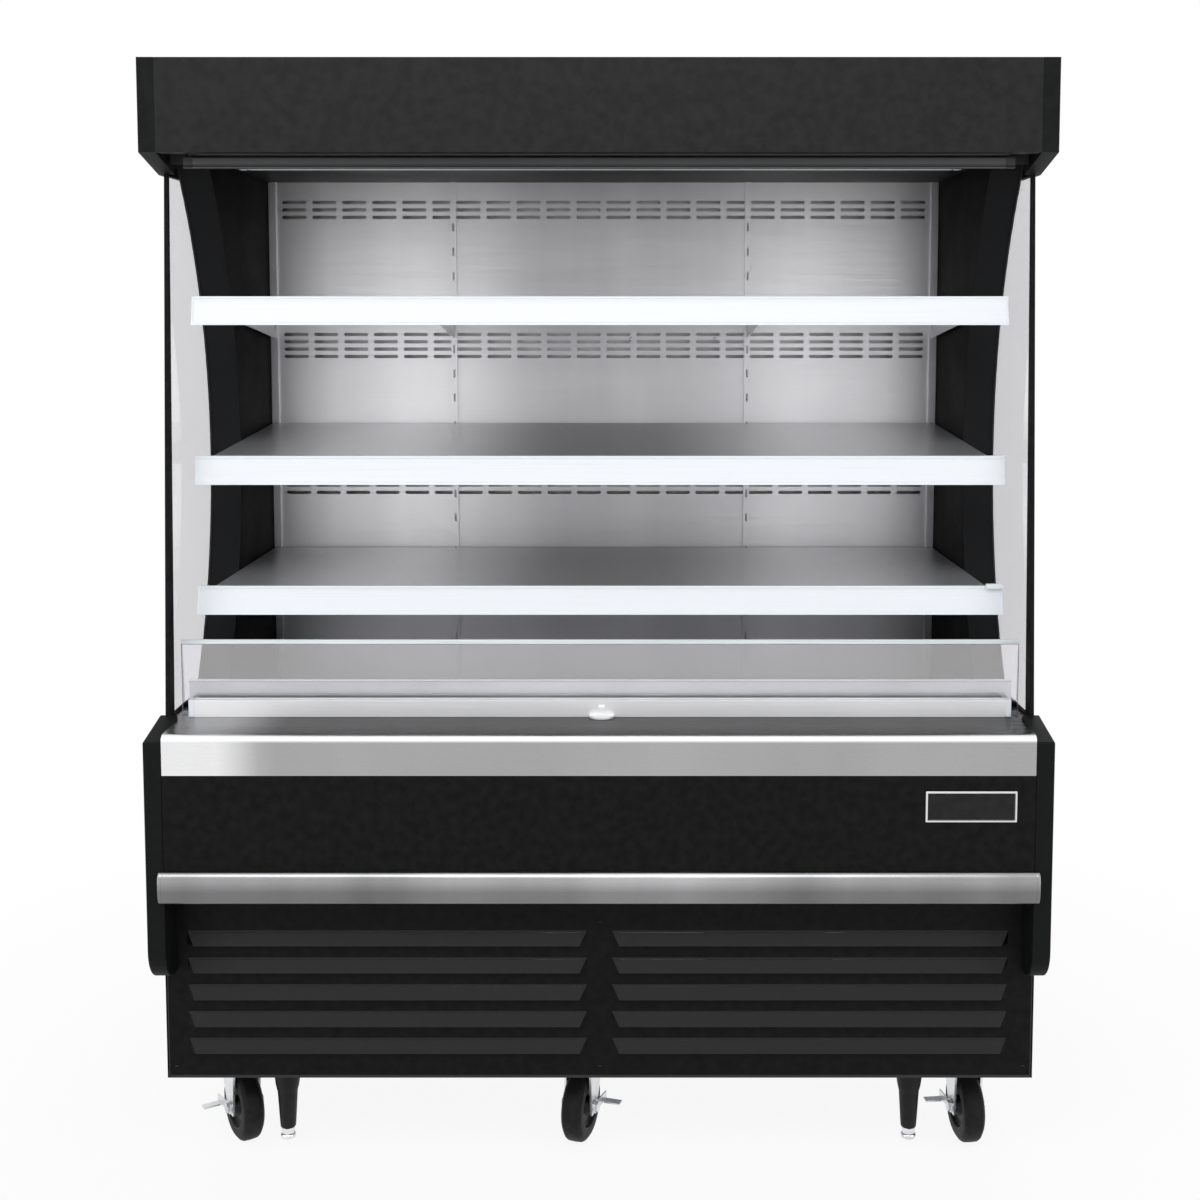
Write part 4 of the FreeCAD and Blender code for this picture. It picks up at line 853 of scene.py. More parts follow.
# ---------------------------------------------------------------- cabinet shell
class FRIDGE_OT_shell(bpy.types.Operator):
    """Side skins, rear skin, roof, liners and foam, with their screws"""
    bl_idname = "fridge.shell"
    bl_label = "Cabinet shell"

    def execute(self, context):
        edge = sizes().panel_edge
        refine("side_skins", "side_panels", body_paint(), edge)
        refine("roof_panel", "roof_sheet", body_paint(), sizes().sheet_edge)
        dress("rear_skin", galvanised())
        refine("side_liners", "side_linings", liner_paint(), 0.0013, 2, self.mouth_edge)
        dress("wall_core", rigid_foam())
        dress("tank_core", rigid_foam())
        dress("tank_liner", return_steel())
        heads = []
        inset = 0.018
        seat_y = BACK_Y - sizes().screw_head * 0.5
        rows = 9
        bottom, top = low("rear_skin").z, high("rear_skin").z
        for row in range(rows):
            z = bottom + inset + row * (top - bottom - 2 * inset) / (rows - 1)
            for side in (-1, 1):
                heads.append(screw((side * (SKIN_X - inset), seat_y, z), Y_AXIS))
        columns = 7
        for column in range(1, columns - 1):
            x = -SKIN_X + inset + column * 2 * (SKIN_X - inset) / (columns - 1)
            heads.append(screw((x, seat_y, bottom + inset), Y_AXIS))
            heads.append(screw((x, seat_y, top - inset), Y_AXIS))
        show("rear_screws", joined(heads), CABINET, "zinc", zinc_plate())
        heads = []
        for z in (BASE_Z + 0.030, BASE_Z + 0.300):
            for y in (low("base_frame").y + 0.030, high("base_frame").y - 0.030):
                heads += pair(screw((SKIN_X, y, z), X_AXIS))
        show("side_screws", joined(heads), CABINET, "black_moulding", moulded_black())
        return {"FINISHED"}

    def mouth_edge(self, edge):
        """The linings' outer corner along the mouth of the case."""
        return all(abs(abs(vert.co.x) - LINER_X) < 0.0001 and vert.co.y < 0.05 for vert in edge.verts)


# ---------------------------------------------------------------- end windows
class FRIDGE_OT_windows(bpy.types.Operator):
    """Glass end windows with a glazing bead along the wall's curved edge"""
    bl_idname = "fridge.windows"
    bl_label = "End windows"

    def execute(self, context):
        refine("side_glass", "end_windows", window_glass(), sizes().sheet_edge, 1)
        beads = pair(self.bead(SKIN_X - 0.006))
        foot = low("side_glass")
        foot_end_y = NOSE_Y + WINDOW_FOOT_DEPTH
        for x0, x1 in ((SKIN_X - 0.0080, SKIN_X - 0.0060), (SKIN_X, SKIN_X + 0.0015)):
            strip = block((x0, foot.y, foot.z + 0.0002), (x1, foot_end_y, foot.z + 0.0065), 0.0005, 1)
            beads += pair(strip)
        show("window_seals", joined(beads), CABINET, "black_moulding", seal_rubber())
        return {"FINISHED"}

    def bead(self, x):
        """Round bead swept along the circle through the window edge's foot, waist and top."""
        foot = Vector((NOSE_Y + WINDOW_FOOT_DEPTH, low("side_glass").z))
        waist = Vector((high("side_glass").y, WINDOW_WAIST_Z))
        top = Vector((NOSE_Y + WINDOW_TOP_DEPTH, high("side_glass").z))
        centre, radius = circle_through(foot, waist, top)
        first = math.atan2(foot.y - centre.y, foot.x - centre.x)
        last = math.atan2(top.y - centre.y, top.x - centre.x)
        bead_radius = sizes().seal
        part = bmesh.new()
        made = bmesh.ops.create_circle(part, cap_ends=False, segments=10, radius=bead_radius)
        axis_y = centre.x + (radius - bead_radius) * math.cos(first)
        axis_z = centre.y + (radius - bead_radius) * math.sin(first)
        place = Matrix.Translation((x - bead_radius, axis_y, axis_z)) @ Matrix.Rotation(first, 4, "X")
        moved(part, place)
        bmesh.ops.spin(part, geom=made["verts"] + part.edges[:], cent=(x, centre.x, centre.y), axis=X_AXIS,
                       dvec=(0, 0, 0), angle=last - first, steps=60, use_duplicate=False)
        bmesh.ops.holes_fill(part, edges=part.edges, sides=12)
        bmesh.ops.recalc_face_normals(part, faces=part.faces)
        return part


def circle_through(a, b, c):
    """Centre and radius of the circle through three flat points."""
    ab, ac = b - a, c - a
    twice_area = 2 * (ab.x * ac.y - ab.y * ac.x)
    x = (ac.y * ab.length_squared - ab.y * ac.length_squared) / twice_area
    y = (ab.x * ac.length_squared - ac.x * ab.length_squared) / twice_area
    centre = a + Vector((x, y))
    return centre, (a - centre).length


# ---------------------------------------------------------------- canopy
class FRIDGE_OT_canopy(bpy.types.Operator):
    """Canopy fascia, moulded ends, ceiling, honeycomb and light"""
    bl_idname = "fridge.canopy"
    bl_label = "Canopy"

    def execute(self, context):
        refine("canopy_fascia", "fascia_sheet", fascia_paint(), sizes().sheet_edge)
        refine("canopy_ends", "canopy_end_mouldings", moulded_black(), sizes().canopy_end_edge, 4)
        dress("canopy_ceiling", ceiling_paint())
        dress("air_honeycomb", fan_plastic())
        lowest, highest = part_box("canopy_light")
        lens = block(lowest + Vector((0.012, 0, 0)), highest - Vector((0.012, 0, 0)), 0.006, 3)
        show("light_diffuser", lens, CABINET, "light_diffuser", diffuser_plastic(), "canopy_light")
        caps = []
        for x0, x1 in ((lowest.x, lowest.x + 0.012), (highest.x - 0.012, highest.x)):
            caps.append(block((x0, lowest.y, lowest.z), (x1, highest.y, highest.z), 0.002))
        show("light_end_caps", joined(caps), CABINET, "white_strip", strip_plastic())
        heads = []
        canopy_low, canopy_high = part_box("canopy_ends")
        for y in (canopy_low.y + 0.030, canopy_high.y - 0.030):
            for z in (canopy_low.z + 0.060, canopy_high.z - 0.030):
                heads += pair(screw((OUTER_X - 0.0028, y, z), X_AXIS))
        show("canopy_screws", joined(heads), CABINET, "black_moulding", moulded_black())
        return {"FINISHED"}


# ---------------------------------------------------------------- night curtain
class FRIDGE_OT_curtain(bpy.types.Operator):
    """Curtain roll, hanging cloth and pull bar"""
    bl_idname = "fridge.curtain"
    bl_label = "Night curtain"

    def execute(self, context):
        self.roll()
        self.cloth()
        self.bar()
        return {"FINISHED"}

    def roll(self):
        lowest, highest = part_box("curtain_roller")
        centre_y, centre_z = (lowest.y + highest.y) / 2, (lowest.z + highest.z) / 2
        radius = (highest.z - lowest.z) / 2
        half = high("curtain_cloth").x
        turns = 5
        profile = [(0.0, radius * 0.76)]
        for turn in range(turns):
            inner = radius * (0.76 + 0.24 * turn / turns)
            outer = radius * (0.76 + 0.24 * (turn + 1) / turns)
            profile += [(0.0006, inner), (0.0, (inner + outer) / 2), (0.0006, outer)]
        far = [(2 * half - along, r) for along, r in reversed(profile)]
        wound = turned(profile + far, (-half, centre_y, centre_z), X_AXIS, 48)
        show("wound_cloth", wound, "curtain_roller", "curtain_cloth", curtain_weave(), "curtain_roller")
        parts = [rod(0.020, (-0.712, centre_y, centre_z), (0.712, centre_y, centre_z), 32, 0.001)]
        parts.append(rod(0.006, (lowest.x, centre_y, centre_z), (highest.x, centre_y, centre_z), 20))
        show("roller_tube", joined(parts), "curtain_roller", "curtain_aluminium", curtain_metal())

    def cloth(self):
        lowest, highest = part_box("curtain_cloth")
        middle_y = (lowest.y + highest.y) / 2
        thick = highest.y - lowest.y
        part = bmesh.new()
        bmesh.ops.create_grid(part, x_segments=48, y_segments=24, size=0.5)
        stand = Matrix.Rotation(math.radians(90), 4, "X")
        stretch = Matrix.Diagonal((highest.x - lowest.x, 1, highest.z - lowest.z, 1))
        moved(part, Matrix.Translation((0, middle_y, (lowest.z + highest.z) / 2)) @ stretch @ stand)
        for vert in part.verts:
            vert.co.y += thick * 0.25 * math.sin(vert.co.x * 9.0)
        cloth = linked("night_curtain", part)
        cloth.data.shade_smooth()
        cloth.data.materials.append(curtain_weave())
        shell = cloth.modifiers.new("Cloth thickness", "SOLIDIFY")
        shell.thickness = thick * 0.5
        shell.offset = 0.0
        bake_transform(cloth)
        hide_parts("curtain_cloth")

    def bar(self):
        """Extruded section: a lip that hooks over the guard channel, a bead groove on top, end plugs."""
        lowest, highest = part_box("curtain_bar")
        cap = 0.016
        wide = highest.y - lowest.y
        tall = highest.z - lowest.z
        outline = [(0.00, 0.0), (0.32, 0.0), (0.32, 0.26), (0.90, 0.26), (1.0, 0.42), (1.0, 0.80),
                   (0.90, 1.0), (0.62, 1.0), (0.62, 0.90), (0.42, 0.90), (0.42, 1.0), (0.16, 1.0),
                   (0.0, 0.82), (0.0, 0.36), (0.10, 0.30), (0.10, 0.20), (0.0, 0.14)]
        outline = [(lowest.y + y * wide, lowest.z + z * tall) for y, z in outline]
        section = soften(extruded(outline, lowest.x + cap, highest.x - cap), 0.0005, 2)
        show("pull_bar", section, "curtain_bar", "curtain_aluminium", curtain_metal(), "curtain_bar")
        plug = soften(extruded(outline, lowest.x, lowest.x + cap), 0.0010, 2)
        show("pull_bar_plugs", joined(pair(plug)), "curtain_bar", "black_moulding", dark_plug())


# ---------------------------------------------------------------- duct wall
class FRIDGE_OT_duct(bpy.types.Operator):
    """Perforated duct panel with its rivets, and the slotted uprights"""
    bl_idname = "fridge.duct"
    bl_label = "Duct wall"

    def execute(self, context):
        dress("duct_panel", duct_steel())
        dress("shelf_uprights", duct_steel())
        heads = [screw((x, DUCT_Y, 1.449), -Y_AXIS, 0.0036) for x in (0.056, 0.230)]
        show("duct_rivets", joined(heads), CABINET, "stainless", guard_steel())
        return {"FINISHED"}


# ---------------------------------------------------------------- shelves
class FRIDGE_OT_shelves(bpy.types.Operator):
    """Three shelves with price strips, and the small clip on the lowest"""
    bl_idname = "fridge.shelves"
    bl_label = "Shelves"

    def execute(self, context):
        for level in LEVELS:
            refine("shelf_%d" % level, "shelf_pan_%d" % level, shelf_steel(), sizes().sheet_edge)
            self.strip(level)
        strip_low, strip_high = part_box("ticket_strip_3")
        clip_x, clip_half = 0.6965, 0.0155
        clip = block((clip_x - clip_half, strip_low.y + 0.001, strip_high.z - 0.004),
                     (clip_x + clip_half, strip_low.y + 0.009, strip_high.z + 0.0045), 0.0015)
        show("strip_clip", clip, "shelf_3", "white_strip", strip_plastic())
        return {"FINISHED"}

    def strip(self, level):
        """White holder with rolled lips, a lipped label channel and end caps, in the strip's own lean."""
        node = "ticket_strip_%d" % level
        lowest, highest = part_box(node)
        tilt = SHELF_TILT[level]
        hinge = Vector((0, high("shelf_%d" % level).y - 0.005, SHELF_Z[level]))
        front = STRIP_FRONT_Y
        top, drop, lean = hinge.z + 0.003, 0.047, 0.010
        bottom = hinge.z - drop

        def face_y(z):
            return front - lean * (hinge.z - lean - z) / (drop - lean) if z < hinge.z - lean else front

        lip = 0.0042
        thick = 0.004
        recess = 0.0012
        outline = [(front + 0.0006, top), (front + 0.005, top), (front + 0.005, hinge.z - lean)]
        outline += [(face_y(bottom) + thick, bottom), (face_y(bottom), bottom)]
        outline += [(face_y(bottom + lip), bottom + lip), (face_y(bottom + lip) + recess, bottom + lip)]
        outline += [(face_y(hinge.z - lean) + recess, hinge.z - lean), (front + recess, top - lip)]
        outline += [(front, top - lip), (front, top - 0.0006)]
        half = (highest.x - lowest.x) / 2
        cap = 0.003
        swing = Matrix.Translation(hinge) @ Matrix.Rotation(tilt, 4, "X") @ Matrix.Translation(-hinge)
        holder = soften(extruded(outline, -half + cap, half - cap), 0.0004, 1)
        moved(holder, swing)
        show("price_strip_%d" % level, holder, "shelf_%d" % level, "white_strip", strip_plastic(), node)
        card = [(front + recess * 0.35, top - lip - 0.0003), (front + recess, top - lip - 0.0003),
                (face_y(hinge.z - lean) + recess, hinge.z - lean),
                (face_y(bottom + lip) + recess, bottom + lip + 0.0003),
                (face_y(bottom + lip) + recess * 0.35, bottom + lip + 0.0003),
                (face_y(hinge.z - lean) + recess * 0.35, hinge.z - lean)]
        insert = moved(extruded(card, -half + 2 * cap, half - 2 * cap), swing)
        show("price_card_%d" % level, insert, "shelf_%d" % level, "white_strip", strip_plastic())
        end = [(front, top), (front + 0.005, top), (front + 0.005, hinge.z - lean),
               (face_y(bottom) + thick, bottom), (face_y(bottom), bottom), (front, hinge.z - lean)]
        ends = [moved(soften(extruded(end, x0, x0 + cap), 0.0005, 1), swing) for x0 in (-half, half - cap)]
        show("strip_ends_%d" % level, joined(ends), "shelf_%d" % level, "white_strip", strip_plastic())


# ---------------------------------------------------------------- air return and deck
class FRIDGE_OT_air_return(bpy.types.Operator):
    """Return grille with its rolled top edge, and the deck pans"""
    bl_idname = "fridge.air_return"
    bl_label = "Air return"

    def execute(self, context):
        dress("return_grille", return_steel())
        lowest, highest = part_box("return_grille")
        hem = rod(0.0022, (lowest.x, lowest.y + 0.0008, highest.z - 0.0022),
                  (highest.x, lowest.y + 0.0008, highest.z - 0.0022), 12)
        show("riser_hem", hem, CABINET, "stainless", guard_steel())
        refine("deck_pans", "deck_sheets", return_steel(), sizes().sheet_edge)
        return {"FINISHED"}


# ---------------------------------------------------------------- guard
class FRIDGE_OT_guard(bpy.types.Operator):
    """Guard glass with its polished top edge, the channel and the curtain hook"""
    bl_idname = "fridge.guard"
    bl_label = "Guard"

    def execute(self, context):
        lowest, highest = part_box("guard_glass")
        channel_top = SILL_Z + 0.030
        half = highest.x
        polish = 0.0080
        pane = block((-half, lowest.y, lowest.z), (half, highest.y, highest.z - polish), 0.0004, 1)
        clear = window_glass("Guard glass", (0.95, 0.945, 0.975), (0.90, 0.93, 0.94), 2.6)
        show("guard_pane", pane, CABINET, "clear_glass", clear, "guard_glass")
        # The glass's top band is opaque and carries a painted highlight.
        bead = block((-half, lowest.y, highest.z - polish), (half, highest.y, highest.z), 0.0010, 3)
        show("guard_edge", bead, CABINET, "clear_glass", polished_edge())
        depth = 0.020
        wall = 0.006
        outline = [(GUARD_Y, SILL_Z), (GUARD_Y + depth, SILL_Z), (GUARD_Y + depth, channel_top),
                   (GUARD_Y + depth - wall, channel_top), (GUARD_Y + depth - wall, SILL_Z + 0.005),
                   (GUARD_Y + wall, SILL_Z + 0.005), (GUARD_Y + wall, channel_top), (GUARD_Y, channel_top)]
        cap = 0.010
        half = high("guard_channel").x
        rail = soften(extruded(outline, -half + cap, half - cap), 0.0008)
        show("guard_rail", rail, CABINET, "stainless", channel_steel(), "guard_channel")
        slot_low, slot_high = lowest.y - 0.0003, highest.y + 0.0003
        inner = -half + cap
        cheeks = [block((-half, GUARD_Y, SILL_Z), (inner, slot_low, channel_top), 0.0015, 3)]
        cheeks.append(block((-half, slot_high, SILL_Z), (inner, GUARD_Y + depth, channel_top), 0.0015, 3))
        cheeks.append(block((-half, slot_low, SILL_Z), (inner, slot_high, lowest.z - 0.0004), 0.0004, 1))
        ends = joined(cheeks)
        show("guard_rail_ends", joined(pair(ends)), CABINET, "white_strip", strip_plastic())
        self.hook()
        return {"FINISHED"}

    def hook(self):
        """Half-round foot with an upturned tongue that takes the pull bar."""
        x, radius, foot = 0.003, 0.022, 0.005
        steps = 14
        rim = []
        for step in range(steps + 1):
            angle = math.pi + math.pi * step / steps
            rim.append((x + radius * math.cos(angle), GUARD_Y + radius * math.sin(angle), SILL_Z))
        plate = soften(prism(rim, (0, 0, foot)), 0.0010)
        show("hook_foot", plate, CABINET, "stainless", channel_steel())
        half = radius / 4
        tongue = [(GUARD_Y - 0.001, SILL_Z + foot), (GUARD_Y - 0.004, SILL_Z + foot)]
        tongue += [(GUARD_Y - 0.0045, SILL_Z + 0.017), (GUARD_Y - 0.003, SILL_Z + 0.0215)]
        tongue += [(GUARD_Y - 0.001, SILL_Z + 0.022)]
        blade = soften(extruded(tongue, x - half, x + half), 0.0006)
        show("curtain_hook", blade, CABINET, "stainless", channel_steel())


# ---------------------------------------------------------------- nose
class FRIDGE_OT_nose(bpy.types.Operator):
    """Sill cap, front panel, moulded nose ends, bumper rail and the bare plate"""
    bl_idname = "fridge.nose"
    bl_label = "Nose"

    def execute(self, context):
        refine("sill_cap", "sill_sheet", sill_steel(), sizes().sheet_edge)
        refine("front_panel", "front_sheet", body_paint(), sizes().sheet_edge)
        refine("nose_ends", "nose_end_mouldings", moulded_black(), sizes().nose_end_edge, 4)
        self.bumper()
        self.plate()
        return {"FINISHED"}

    def bumper(self):
        """Rolled half-round section with a flat lip above and below, closed by end caps."""
        lowest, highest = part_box("bumper_rail")
        reach = highest.y - lowest.y
        tall = highest.z - lowest.z
        middle = (lowest.z + highest.z) / 2
        steps = 20
        outline = [(highest.y, lowest.z), (highest.y, highest.z)]
        for step in range(steps + 1):
            angle = math.pi / 2 - math.pi * step / steps
            bulge = abs(math.cos(angle)) ** 0.8
            outline.append((highest.y - 0.001 - (reach - 0.001) * bulge,
                            middle + tall / 2 * math.sin(angle)))
        cap = 0.006
        rail = extruded(outline, lowest.x + cap, highest.x - cap)
        bmesh.ops.remove_doubles(rail, verts=rail.verts, dist=MERGE_DISTANCE)
        steel = Vector(colours().steel)
        # Painted shade: the rail darkens from near its top downwards, darkest on its lower half.
        painted_shade_by_height = ("Z", ((middle - 0.004, 0.56), (middle + 0.005, 0.78), (middle + 0.014, 1.0)))
        finish = brushed("Bumper steel", steel * 0.44, steel * 0.84, roughness=(0.18, 0.30), contrast=2.4,
                         shift=(5.3, 0.0, 0.0), painted_shades=(painted_shade_by_height,))
        show("bumper_section", rail, CABINET, "stainless", finish, "bumper_rail")
        caps = []
        for x0 in (lowest.x, highest.x - cap):
            caps.append(soften(extruded(outline, x0, x0 + cap), 0.0012))
        show("bumper_caps", joined(caps), CABINET, "stainless", finish)

    def plate(self):
        """Bare badge plate: a raised rim round a plain dark field."""
        x0, x1, z0, z1 = 0.5464, 0.6997, 0.6485, 0.7015
        rim, proud = 0.0028, 0.0030
        y = NOSE_Y - proud
        outer = block((x0, y, z0), (x1, NOSE_Y + 0.0002, z1), 0.0012, 3)
        front = min(outer.faces, key=lambda f: f.calc_center_median().y)
        bmesh.ops.inset_region(outer, faces=[front], thickness=rim, depth=0.0)
        bmesh.ops.inset_region(outer, faces=[front], thickness=0.0006, depth=-0.0016)
        show("badge_rim", outer, CABINET, "stainless", guard_steel())
        field = block((x0 + rim + 0.001, y + 0.0012, z0 + rim + 0.001),
                      (x1 - rim - 0.001, y + 0.0022, z1 - rim - 0.001), 0.0003, 1)
        show("badge_field", field, CABINET, "black_moulding", fascia_paint())


# ---------------------------------------------------------------- base
class FRIDGE_OT_base(bpy.types.Operator):
    """Base frame and louvre panel"""
    bl_idname = "fridge.base"
    bl_label = "Base"

    def execute(self, context):
        dress("base_frame", galvanised("Frame finish", low("base_frame").y + 0.004))
        refine("louvre_panel", "louvre_sheet", louvre_paint(), sizes().sheet_edge)
        heads = []
        lowest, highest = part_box("louvre_panel")
        panel_y = high("louvre_panel").y - 0.002
        for z in (lowest.z + 0.014, highest.z - 0.058):
            for x in (lowest.x + 0.012, 0.0, highest.x - 0.012):
                heads.append(screw((x, panel_y, z), -Y_AXIS, 0.0042))
        show("louvre_screws", joined(heads), CABINET, "black_steel", louvre_paint())
        return {"FINISHED"}


# ---------------------------------------------------------------- casters
class FRIDGE_OT_casters(bpy.types.Operator):
    """Swivel casters: top plates, forks, wheels and brake levers"""
    bl_idname = "fridge.casters"
    bl_label = "Casters"

    def execute(self, context):
        refine("caster_plates", "caster_tops", zinc_plate(), sizes().sheet_edge)
        self.bolts()
        for place in PLACES:
            for end in ("front", "rear"):
                fork = "%s_fork_%s" % (end, place)
                refine(fork, "%s_yoke_%s" % (end, place), zinc_plate(), sizes().panel_edge)
                self.wheel(end, place)
            lever = "brake_lever_" + place
            refine(lever, "brake_pedal_" + place, zinc_plate(), sizes().sheet_edge)
        return {"FINISHED"}

    def bolts(self):
        heads = []
        for end in ("front", "rear"):
            for place in PLACES:
                kingpin = joint_place("%s_swivel_%s" % (end, place))
                for dx in (-0.040, 0.040):
                    for dy in (-0.032, 0.032):
                        spot = Vector((kingpin.x + dx, kingpin.y + dy, BASE_Z - 0.004))
                        heads.append(rod(0.0075, spot, spot - Vector((0, 0, 0.006)), 6, 0.0006))
        show("caster_bolts", joined(heads), CABINET, "zinc", zinc_plate())

    def wheel(self, end, place):
        """Tyre with rounded shoulders and side rings, a dished hub, and hex nuts on the axle."""
        body = "%s_wheel_%s" % (end, place)
        swivel = "%s_swivel_%s" % (end, place)
        axis = joint_axis("%s_roll_%s" % (end, place))
        centre = joint_place("%s_roll_%s" % (end, place))
        radius, half = 0.0635, 0.019
        tread = [(-half, 0.040), (-half, 0.0535), (-half + 0.0015, 0.0560), (-half + 0.0025, 0.0575),
                 (-half + 0.0050, 0.0610), (-half + 0.0085, 0.0630), (0.0, radius)]
        tread += [(-along, r) for along, r in reversed(tread[:-1])]
        tyre = turned(tread + [tread[0]], centre, axis, 56)
        show("tyre_%s_%s" % (end, place), tyre, body, "black_rubber", tread_rubber(), body)
        hub = [(-0.0215, 0.0062), (-0.0215, 0.0125), (-0.0180, 0.0150), (-0.0130, 0.0180), (-0.0110, 0.0300),
               (-0.0130, 0.0360), (-half + 0.0005, 0.0385), (-half, 0.0402), (-half + 0.002, 0.0412)]
        hub += [(-along, r) for along, r in reversed(hub)]
        core = turned(hub + [hub[0]], centre, axis, 40)
        show("hub_%s_%s" % (end, place), core, body, "black_rubber", leg_plastic())
        nuts = []
        for side in (-1, 1):
            start = centre + axis * side * 0.0290
            nuts.append(rod(0.0100, start, start + axis * side * 0.0053, 6, 0.0006))
        show("axle_nuts_%s_%s" % (end, place), joined(nuts), swivel, "zinc", zinc_plate())


def joint_named(name):
    return next(joint for joint in frame["joints"] if joint["name"] == name)


def joint_place(name):
    return Vector(joint_named(name)["pos_m"])


def joint_axis(name):
    return Vector(joint_named(name)["axis"]).normalized()


# ---------------------------------------------------------------- levelling legs
class FRIDGE_OT_legs(bpy.types.Operator):
    """Flared leg sleeves and their screw feet"""
    bl_idname = "fridge.legs"
    bl_label = "Levelling legs"

    def execute(self, context):
        sleeves = []
        for place in ("left", "right"):
            lowest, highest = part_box("levelling_foot_" + place)
            centre = (lowest + highest) / 2
            base = Vector((centre.x, centre.y, 0))
            profile = [(0.0465, 0.0086), (0.0465, 0.0125), (0.0480, 0.0137), (0.060, 0.0146), (0.110, 0.0176),
                       (0.114, 0.0180), (0.120, 0.0196), (0.128, 0.0212), (0.150, 0.0238), (0.162, 0.0262),
                       (0.166, 0.0270), (0.1699, 0.0270), (0.1699, 0.0086)]
            sleeves.append(turned(profile + [profile[0]], base, Z_AXIS, 40))
            foot = [(0.0262, 0.0), (0.0260, 0.0110), (0.0272, 0.0130), (0.0300, 0.0135), (0.0330, 0.0132),
                    (0.0345, 0.0118), (0.0345, 0.0080), (0.1195, 0.0080), (0.1200, 0.0)]
            pad = turned(foot, base, Z_AXIS, 32)
            nut = rod(0.0125, base + Z_AXIS * 0.0352, base + Z_AXIS * 0.0458, 6, 0.0008)
            show("screw_foot_" + place, joined([pad, nut]), "levelling_foot_" + place, "zinc", zinc_plate(),
                 "levelling_foot_" + place)
        show("leg_mouldings", joined(sleeves), CABINET, "leg_plastic", leg_plastic(), "leg_sleeves")
        return {"FINISHED"}


# ---------------------------------------------------------------- refrigeration set
class FRIDGE_OT_machine(bpy.types.Operator):
    """Compressor, coils, fans and control box"""
    bl_idname = "fridge.machine"
    bl_label = "Refrigeration set"

    def execute(self, context):
        refine("compressor", "compressor_shell", compressor_enamel(), 0.0015)
        dress("condenser_coil", fin_metal())
        dress("evaporator_coil", fin_metal())
        for node in ("condenser_fan", "evaporator_fan_left", "evaporator_fan_right"):
            dress(node, fan_plastic())
        refine("control_box", "control_case", galvanised(), sizes().sheet_edge)
        lowest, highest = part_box("compressor")
        centre = (lowest + highest) / 2
        seam_z = highest.z - 0.050
        seam = turned([(-0.004, 0.0955), (-0.003, 0.0985), (0.003, 0.0985), (0.004, 0.0955)],
                      (centre.x, centre.y, seam_z), Z_AXIS, 56)
        show("compressor_seam", seam, CABINET, "compressor_black", compressor_enamel())
        return {"FINISHED"}


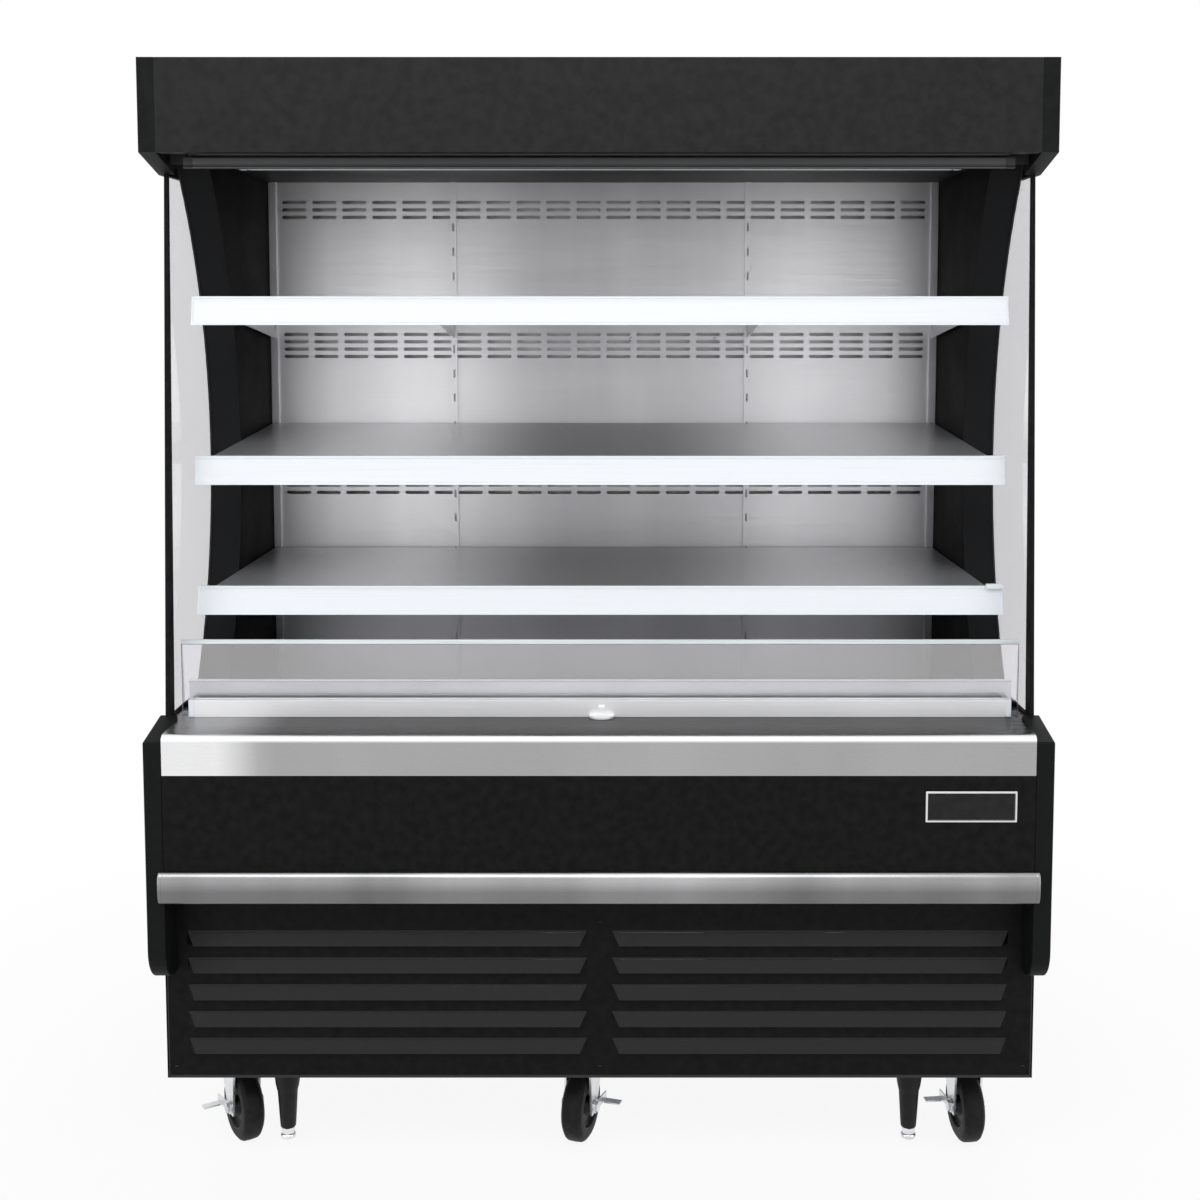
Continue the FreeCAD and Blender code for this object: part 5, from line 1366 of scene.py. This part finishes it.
# ---------------------------------------------------------------- stage
class FRIDGE_OT_stage(bpy.types.Operator):
    """Pale floor, white surround, soft lamps and the camera"""
    bl_idname = "fridge.stage"
    bl_label = "Stage"

    def execute(self, context):
        self.floor()
        self.world()
        settings = context.scene.fridge_stage
        target = Vector((0, 0, 0.95))
        self.lamp("key", (-0.3, -3.0, 3.3), target, (3.2, 1.6), settings.key_power)
        self.lamp("fill_left", (-3.0, -2.2, 1.5), target, (1.2, 2.4), settings.fill_power)
        self.lamp("fill_right", (3.0, -2.2, 1.5), target, (1.2, 2.4), settings.fill_power)
        self.lamp("rear", (0.8, 3.4, 3.2), target, (2.6, 1.6), settings.rear_power)
        self.camera(settings)
        context.scene.view_settings.view_transform = "Standard"
        return {"FINISHED"}

    def floor(self):
        part = bmesh.new()
        bmesh.ops.create_grid(part, x_segments=2, y_segments=2, size=30.0)
        floor = linked("floor", part)
        made, tree, shader, place = started("Pale floor")
        tone = ramp(tree, noise(tree, place, 0.7, 2.0), [(0.3, 0.90), (0.7, 0.92)])
        wire(tree, shader, Base_Color=tone, Roughness=0.8)
        glow = put(tree, "ShaderNodeEmission", Color=(1, 1, 1, 1), Strength=1.0)
        flat = vector_maths(tree, "MULTIPLY", place, (1.0, 1.0, 0.0))[0]
        away = vector_maths(tree, "LENGTH", flat)["Value"]
        share = put(tree, "ShaderNodeMapRange", {"interpolation_type": "SMOOTHSTEP"}, Value=away,
                    From_Min=0.7, From_Max=2.2, To_Min=0.90, To_Max=1.0)
        end_with_mix(tree, maths(tree, "MULTIPLY", seen_rays(tree), share.outputs[0]), shader, glow)
        floor.data.materials.append(made)

    def world(self):
        """Grey sky for light, seen as plain white."""
        world = bpy.data.worlds.new("Studio")
        world.use_nodes = True
        tree = world.node_tree
        light = tree.nodes["Background"]
        wire(tree, light, Color=(0.97, 0.98, 1.0, 1.0), Strength=0.55)
        white = put(tree, "ShaderNodeBackground", Color=(1, 1, 1, 1), Strength=1.0)
        end_with_mix(tree, seen_rays(tree), light, white)
        bpy.context.scene.world = world

    def lamp(self, name, place, target, size, power):
        data = bpy.data.lights.new(name, "AREA")
        data.shape = "RECTANGLE"
        data.size, data.size_y = size
        data.energy = power
        lamp = bpy.data.objects.new(name, data)
        bpy.context.scene.collection.objects.link(lamp)
        lamp.location = place
        lamp.rotation_euler = (target - Vector(place)).to_track_quat("-Z", "Y").to_euler()

    def camera(self, settings):
        data = bpy.data.cameras.new("camera")
        data.lens = settings.lens
        data.sensor_width = SENSOR_WIDTH
        data.shift_x, data.shift_y = CAMERA_SHIFT
        camera = bpy.data.objects.new("camera", data)
        bpy.context.scene.collection.objects.link(camera)
        camera.location = settings.camera_place
        camera.rotation_euler = (math.radians(90) - settings.pitch, 0, 0)
        bpy.context.scene.camera = camera


# ---------------------------------------------------------------- panel and registration
OPERATORS = (FRIDGE_OT_shell, FRIDGE_OT_windows, FRIDGE_OT_canopy, FRIDGE_OT_curtain, FRIDGE_OT_duct,
             FRIDGE_OT_shelves, FRIDGE_OT_air_return, FRIDGE_OT_guard, FRIDGE_OT_nose, FRIDGE_OT_base,
             FRIDGE_OT_casters, FRIDGE_OT_legs, FRIDGE_OT_machine, FRIDGE_OT_stage)


class FRIDGE_PT_sidebar(bpy.types.Panel):
    """Lists the steps that dress the fridge"""
    bl_idname = "FRIDGE_PT_sidebar"
    bl_label = "Display fridge"
    bl_space_type = "VIEW_3D"
    bl_region_type = "UI"
    bl_category = "Display fridge"

    def draw(self, context):
        for group in ("fridge_colours", "fridge_sizes", "fridge_stage"):
            settings = getattr(context.scene, group)
            for key in settings.__annotations__:
                self.layout.prop(settings, key)
        for operator in OPERATORS:
            self.layout.operator(operator.bl_idname)


CLASSES = (FridgeColours, FridgeSizes, FridgeStage) + OPERATORS + (FRIDGE_PT_sidebar,)


def register():
    for item in CLASSES:
        bpy.utils.register_class(item)
    bpy.types.Scene.fridge_colours = bpy.props.PointerProperty(type=FridgeColours)
    bpy.types.Scene.fridge_sizes = bpy.props.PointerProperty(type=FridgeSizes)
    bpy.types.Scene.fridge_stage = bpy.props.PointerProperty(type=FridgeStage)


def unregister():
    for group in ("fridge_colours", "fridge_sizes", "fridge_stage"):
        delattr(bpy.types.Scene, group)
    for item in reversed(CLASSES):
        bpy.utils.unregister_class(item)


def main():
    register()
    for operator in OPERATORS:
        family, name = operator.bl_idname.split(".")
        getattr(getattr(bpy.ops, family), name)()


if __name__ == "__main__":
    main()
